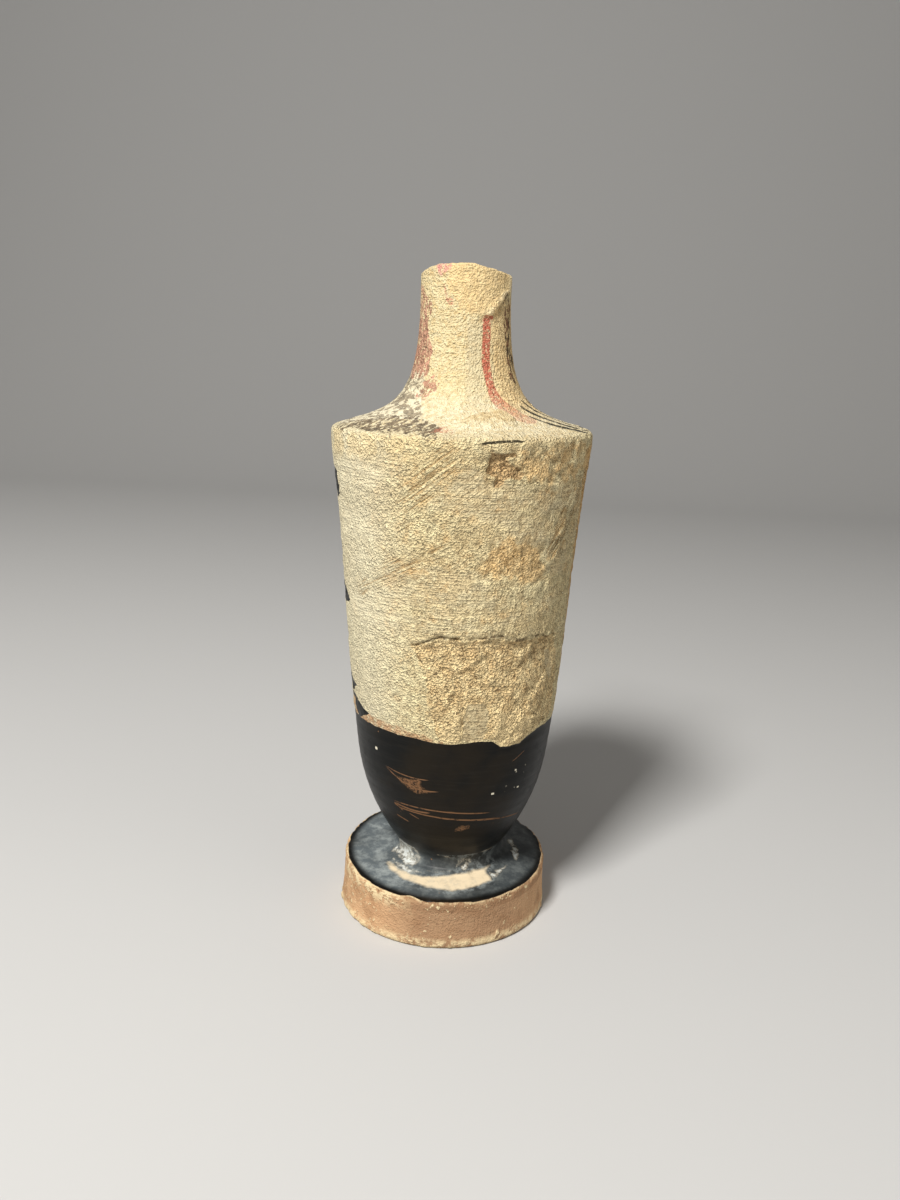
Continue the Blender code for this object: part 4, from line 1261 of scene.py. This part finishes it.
# %% Paint on the shoulder
strokes = noise(drawn_out(spot, 48, (2.4, 1.0, 1.0)), 1.3, 4.0, 0.7)
in_tongues = times(edge("dark_tongues", 0.4, 1.0, 0.12), climb(strokes, 0.545, 0.505))
dark_paint = mix(patchy(spot, 1.2, 0.4, 0.6, 3.0, 0.5), (98, 86, 73), (138, 122, 100))
flecks = noise(drawn_out(spot, 40, (1.0, 1.8, 1.4)), 1.6, 4.0, 0.75)
in_speckled = edge("speckled", 0.5, 1.0, 0.6)
coat((236, 230, 206), in_speckled, 0.55)
coat(dark_paint, most(in_tongues, times(in_speckled, climb(flecks, 0.53, 0.46), 0.85)), 0.92)
grey_strip = times(between(turn_here, 0.0, 6.0, 18.0, 24.0), between(up, 122.0, 128.0, 142.0, 146.0))
coat((202, 190, 158), grey_strip, 0.5)
right_side = times(between(turn_here, 29.0, 40.0, 110.0, 130.0), between(up, 122.0, 127.0, 147.0, 150.0))
coat(mix(0.35, rough_clay, (198, 166, 116)), right_side, 0.75)

# %% Paint on the neck
neck_brown = mix(patchy(spot, 1.8, 0.35, 0.65, 3.0, 0.6), (202, 150, 128), (162, 116, 98))
more_gaps = most(climb(up, 140.0, 148.0), climb(up, 134.5, 131.5))
left_fleck = scaled(more_gaps, 0.08, noise(drawn_out(spot, 0, (0.8, 0.8, 2.4)), 0.8, 3.0, 0.65))
neck_brown = mix(times(patchy(spot, 0.9, 0.52, 0.66), 0.6), neck_brown, (112, 84, 70))
coat(neck_brown, edge("neck_left", 0.6, 1.4, 0.2), climb(left_fleck, 0.62, 0.55), 0.9)
right_fleck = patchy(drawn_out(spot, 0, (1.0, 1.0, 2.4)), 0.9, 0.46, 0.54)
neck_black = mix(patchy(spot, 2.5, 0.42, 0.58, 2.0, 0.5), (120, 82, 62), (54, 40, 34))
coat(neck_black, edge("neck_right", 0.5, 1.0, 0.5), right_fleck, 0.92)
red_wear = times(patchy(spot, 0.7, 0.66, 0.5, 3.0), scaled(climb(up, 123.0, 131.0), 0.46, 0.36))
coat((186, 76, 64), edge("red_paint", 0.15, 0.7, 0.3), red_wear)
coat((190, 118, 98), edge("faint_red", 0.5, 1.0, 0.6), patchy(spot, 0.8, 0.6, 0.4, 3.0), 0.75)
pinks = mix(climb(up, 151.0, 153.5), (182, 112, 92), (214, 128, 132))
coat(pinks, edge("pink_spot", 0.3, 0.8, 0.5), patchy(spot, 0.9, 0.66, 0.42, 3.0), 0.75)


# %% Thin black lines, flakes and the band
def thin_lines(rows):
    """Thin lines. A row has the turn and height of both ends, then the line's bow and its width."""
    parts = []
    for from_turn, from_height, to_turn, to_height, bow, width in rows:
        parts.append(use(scratch, Turn=turn_here, Height=up, From_turn=from_turn, To_turn=to_turn,
                         From_height=from_height, To_height=to_height, Bow=bow, Width=width))
    return most(*parts)


def glaze_with_dots(film_and_sheen):
    """The black glaze, browner towards the worn side, and the small bare dots in it."""
    thinness = climb(size_of(turn_here), 60.0, 10.0)
    glaze = use(black_glaze, Place=spot, Thinness=thinness, Film=film_and_sheen)
    dots = use(specks, Place=spot, Spacing=2.0, Size=0.14, Share=0.16)
    return glaze, times(dots, patchy(spot, 9.0, 0.48, 0.6, 2.0, 0.5))


shoulder_lines = thin_lines([
    (7.0, 119.2, 26.5, 119.8, 0.2, 0.4),
    (52.0, 126.2, 82.0, 120.5, -0.2, 0.8),
    (50.0, 124.2, 74.0, 120.4, -0.3, 0.5),
    (60.0, 127.4, 95.0, 120.6, -0.2, 0.6),
    (72.0, 128.0, 110.0, 120.6, -0.2, 0.7),
])
coat((206, 162, 122), edge("clay_strip", 0.3, 1.2, 0.5), patchy(spot, 1.6, 0.7, 0.45), 0.85)
line_wear = patchy(spot, 0.8, 0.33, 0.45, 3.0)
black = most(edge("flakes", 0.08, 0.6, 0.1), times(shoulder_lines, line_wear, 0.95))
glaze, dots = glaze_with_dots(0.0)
coat(glaze.outputs["Colour"], black)
on_band = without(edge("over_band", 0.06, 0.8, 0.12))
coat(mix(times(dots, 0.7), glaze.outputs["Colour"], BARED_CLAY), on_band)
glossy = most(times(on_band, without(dots)), black)


# %% Gloss and grit of the painted clay
matt = without(glossy)
roughness = plus(times(roughness, matt), times(glaze.outputs["Roughness"], glossy))
rough_share = most(in_patch, times(edge("chip", 0.1, 0.8, 0.3), 0.8), times(ochre_soft, 0.7))
coated_grit = times(bump, without(rough_share))
grit = plus(coated_grit, times(rough_grain.outputs["Height"], rough_share, 1.2))
grit = times(grit, matt, scaled(in_scar, -0.2, 1.0))
bump = plus(scaled(in_chip, -0.3, grit), times(glaze.outputs["Height"], glossy))
finish_surface(painted, roughness, bump)


# %% [markdown]
# ### Glazed end and foot
#
# Grey film lies on the glaze by the stem and on top of the foot, partly real and partly painted sheen,
# stronger at the left and by the stem. Scratches, bare dots and one bare spot show the clay under it.
# The foot's side is bare clay with soil at its edges, and stains cross its top; the pale bluish streaks
# by the stem are partly painted reflections.

# %% The glaze, its film and its scratches
foot_end, spot, turn_here = new_finish("black glaze and foot")
up = read("height")
# Grey film on the foot's top, painted stronger towards the left and by the stem: partly a real film, partly
# painted sheen.
film_and_sheen = times(climb(up, 21.0, 15.0), climb(read("radius"), 24.4, 22.4),
             scaled(climb(turn_here, 20.0, -50.0), 0.6, 0.4))
film_and_sheen_by_stem = times(climb(read("radius"), 16.5, 14.0), climb(up, 20.0, 16.5),
                scaled(climb(turn_here, -10.0, -45.0), 0.6, 0.3))
film_and_sheen = most(times(film_and_sheen, climb(read("radius"), 12.5, 15.5)), film_and_sheen_by_stem)
glaze, dots = glaze_with_dots(film_and_sheen)
scratches = thin_lines([
    (-40.0, 33.6, 28.0, 32.1, 0.3, 0.24), (-39.0, 32.2, 36.0, 29.9, 0.1, 0.24),
    (-12.0, 31.3, 60.0, 28.3, 0.3, 0.2), (-39.7, 29.4, -29.4, 28.3, 0.0, 0.22),
    (-28.0, 31.2, -20.0, 29.8, 0.0, 0.2), (-39.0, 32.9, -32.0, 31.4, 0.1, 0.3),
    (-39.0, 33.2, -12.0, 32.4, -0.4, 0.3), (-30.0, 33.6, 4.0, 33.2, -0.2, 0.14),
    (-41.0, 42.9, -12.0, 41.6, -0.5, 0.18), (-42.0, 43.0, -6.0, 38.8, -1.6, 0.22),
    (36.0, 45.4, 45.0, 47.5, 0.0, 0.12),
])
flecked = times(between(turn_here, 33.0, 37.0, 46.0, 50.0), between(up, 36.6, 38.0, 43.0, 44.4),
                use(specks, Place=spot, Spacing=1.1, Size=0.26, Share=0.4), 0.7)
white_specks = thin_lines([
    (-49.0, 46.4, -46.8, 46.4, 0.0, 0.5), (24.6, 37.7, 26.8, 37.7, 0.0, 0.36),
    (43.4, 37.8, 45.2, 37.8, 0.0, 0.3), (39.0, 42.9, 40.4, 42.9, 0.0, 0.3),
])
white_specks = most(white_specks, flecked)
scratched = times(scratches, patchy(spot, 1.2, 0.28, 0.5, 3.0, 0.8), 0.75)
worn_spots = times(edge("bare_glaze", 0.25, 0.7, 0.6), patchy(spot, 0.6, 0.36, 0.6, 3.0, 0.8), 0.8)
bared = most(scratched, worn_spots, dots)
colour = mix(times(bared, 0.7), glaze.outputs["Colour"], BARED_CLAY)
coat((222, 216, 196), white_specks)
glossy = without(most(bared, white_specks))


# %% Bare clay and soil on the foot's side
black_edge_here = read("inside_black_edge")
on_side = times(climb(black_edge_here, 0.1, -0.1), climb(up, 15.5, 14.8))
clay = use(bare_clay, Place=spot, Paleness=0.1)
darker_side = times(between(turn_here, -45.0, -5.0, 30.0, 75.0), 0.7)
coat(mix(darker_side, clay.outputs["Colour"], (146, 116, 90)), on_side)
coat((150, 114, 82), on_side, patchy(spot, 5.0, 0.48, 0.66, 3.0, 0.6), 0.4)
coat((132, 98, 70), on_side, climb(black_edge_here, -4.2, -1.2), climb(turn_here, -30.0, 0.0), 0.45)
rim = times(climb(black_edge_here, -0.6, -0.1), patchy(spot, 1.4, 0.4, 0.52),
            scaled(climb(turn_here, 10.0, -30.0), 0.4, 0.6))
low_dust = times(climb(up, 3.2, 1.2), patchy(spot, 2.2, 0.38, 0.54))
fleck_zone = most(climb(turn_here, -20.0, -50.0), climb(up, 5.0, 2.0), climb(up, 9.5, 12.0))
soil_flecks = climb(scaled(fleck_zone, 0.06, noise(spot, 1.3, 3.0, 0.65)), 0.66, 0.7)
left_dust = times(between(turn_here, -95.0, -75.0, -34.0, -12.0), climb(up, 8.6, 11.6),
                  patchy(spot, 1.8, 0.45, 0.55))
soil = times(on_side, most(rim, low_dust, left_dust, soil_flecks, climb(read("crumb"), 0.2, 0.7)))
coat((232, 212, 170), soil, 0.85)


# %% Stains and painted reflections on top of the foot
off_side = without(on_side)
halo = times(climb(read("crescent"), -1.8, 0.2), patchy(spot, 1.6, 0.42, 0.62), off_side)
coat((172, 180, 180), halo, 0.4)
stain_and_gleam = times(edge("crescent", 0.3, 2.5, 1.1), scaled(patchy(spot, 2.4, 0.25, 0.55), 0.3, 0.7))
# The pale bluish streaks are partly deposits and partly painted reflections; the crescent is a real stain.
streak = times(edge("streaks", 0.45, 1.2, 0.8), patchy(spot, 1.6, 0.36, 0.6))
stain_and_gleam = times(most(stain_and_gleam, times(streak, 0.85)), off_side)
coat(mix(streak, (230, 212, 180), (222, 228, 226)), stain_and_gleam, 0.94)
glossy = times(glossy, off_side, without(stain_and_gleam))


# %% Gloss and bumps of the glazed end
roughness = plus(times(without(glossy), 0.82), times(glaze.outputs["Roughness"], glossy))
bump = plus(times(glaze.outputs["Height"], glossy), times(clay.outputs["Height"], on_side))
bump = scaled(soil, 0.12, bump)
bump = scaled(bared, -0.04, bump)
finish_surface(foot_end, roughness, bump)


# %% [markdown]
# ### Inside, and which faces get which material
#
# The inside was never coated, so it shows fired clay with a little pale dust. Every face has the number
# of its material: a ring of faces takes it from its height and from the side of the wall it lies on.

# %% The inside
inside, spot, turn_here = new_finish("inside clay")
clay = use(bare_clay, Place=spot, Paleness=0.5)
colour = clay.outputs["Colour"]
finish_surface(inside, clay.outputs["Roughness"], clay.outputs["Height"])

# %% Faces and their materials
PAINTED, GLAZED, INSIDE = range(3)

for finish in (painted, foot_end, inside):
    mesh.materials.append(finish)
outer_slots = np.where(row_height[1:] > FINISH_JOIN + 0.01, PAINTED, GLAZED)
row_slots = np.where(np.arange(1, rows) > len(outside), INSIDE, outer_slots)
slots = np.concatenate([np.repeat(row_slots, COLUMNS), np.full(COLUMNS, GLAZED), np.full(COLUMNS, INSIDE)])
mesh.polygons.foreach_set("material_index", slots.astype(np.int32))
print("faces in each finish:", np.bincount(slots).tolist())


# %% [markdown]
# ## Light, floor and camera
#
# The pot stands on a plain pale floor that curves up behind it. A soft lamp at the upper left gives the
# slanting light that brings out the grain, and a weaker one fills the shadow side.

# %% Floor
def sweep_floor():
    """A pale sheet: level in front, then a quarter circle up to a level back wall."""
    half, front, start, bend, top = 1.6, -1.2, 0.7, 0.5, 1.8
    turn = np.linspace(0, math.pi / 2, 24)
    y = np.concatenate([[front], start + bend * np.sin(turn), [start + bend]])
    z = np.concatenate([[0], bend * (1 - np.cos(turn)), [top]])
    count = len(y)
    left = np.stack([np.full(count, -half), y, z], axis=-1)
    right = left * (-1, 1, 1)
    step = np.arange(count - 1)
    sheet = np.stack([step, step + count, step + count + 1, step + 1], axis=-1)
    floor_mesh = bpy.data.meshes.new("floor")
    floor_mesh.from_pydata(np.concatenate([left, right]).tolist(), [], sheet.tolist())
    floor_mesh.shade_smooth()
    return bpy.data.objects.new("floor", floor_mesh)


floor = sweep_floor()
scene.collection.objects.link(floor)
PALE_GREY = (0.55, 0.555, 0.56, 1)
paper = bpy.data.materials.new("pale paper")
paper.use_nodes = True
sheet_surface = paper.node_tree.nodes["Principled BSDF"]
sheet_surface.inputs["Base Color"].default_value = PALE_GREY
sheet_surface.inputs["Roughness"].default_value = 0.9
floor.data.materials.append(paper)
print(f"floor: {len(floor.data.polygons)} faces")


# %% Lamps
POT_MIDDLE = 0.08


def lamp(name, azimuth, elevation, distance, size, power, colour):
    """A square area lamp aimed at the middle of the pot, from an azimuth off the camera's side."""
    light = bpy.data.lights.new(name, "AREA")
    light.size, light.energy, light.color = size, power, colour
    lamp_object = bpy.data.objects.new(name, light)
    a, e = math.radians(azimuth), math.radians(elevation)
    lamp_object.location = (
        distance * math.sin(a) * math.cos(e),
        -distance * math.cos(a) * math.cos(e),
        POT_MIDDLE + distance * math.sin(e),
    )
    lamp_object.rotation_euler = (math.pi / 2 - e, 0, a)
    scene.collection.objects.link(lamp_object)


lamp("key light", -29, 48, 0.9, 0.2, 11.4, (1.0, 0.97, 0.92))
lamp("fill light", 60, 20, 1.2, 0.9, 1.8, (1.0, 0.94, 0.85))
print("lamps:", [(light.name, light.energy) for light in bpy.data.lights])
world = bpy.data.worlds.new("studio")
scene.world = world
world.use_nodes = True
background = world.node_tree.nodes["Background"]
background.inputs["Color"].default_value = (1.0, 0.95, 0.88, 1)
background.inputs["Strength"].default_value = 0.2
scene.view_settings.view_transform = "Standard"

# %% Camera
camera_data = bpy.data.cameras.new("camera")
camera_data.lens, camera_data.sensor_width = 30, 36
camera = bpy.data.objects.new("camera", camera_data)
camera.location = (0.000432, -0.23527, 0.13769)
pitch, roll, yaw = math.radians(90 - 14.07), math.radians(2.77), math.radians(0.33)
camera.rotation_mode = "QUATERNION"
camera.rotation_quaternion = (
    Quaternion((0, 0, 1), yaw) @ Quaternion((1, 0, 0), pitch) @ Quaternion((0, 0, 1), roll)
)
scene.collection.objects.link(camera)
scene.camera = camera
print(f"camera: {camera.location.length / MILLIMETRE:.0f} mm from the middle of the foot")
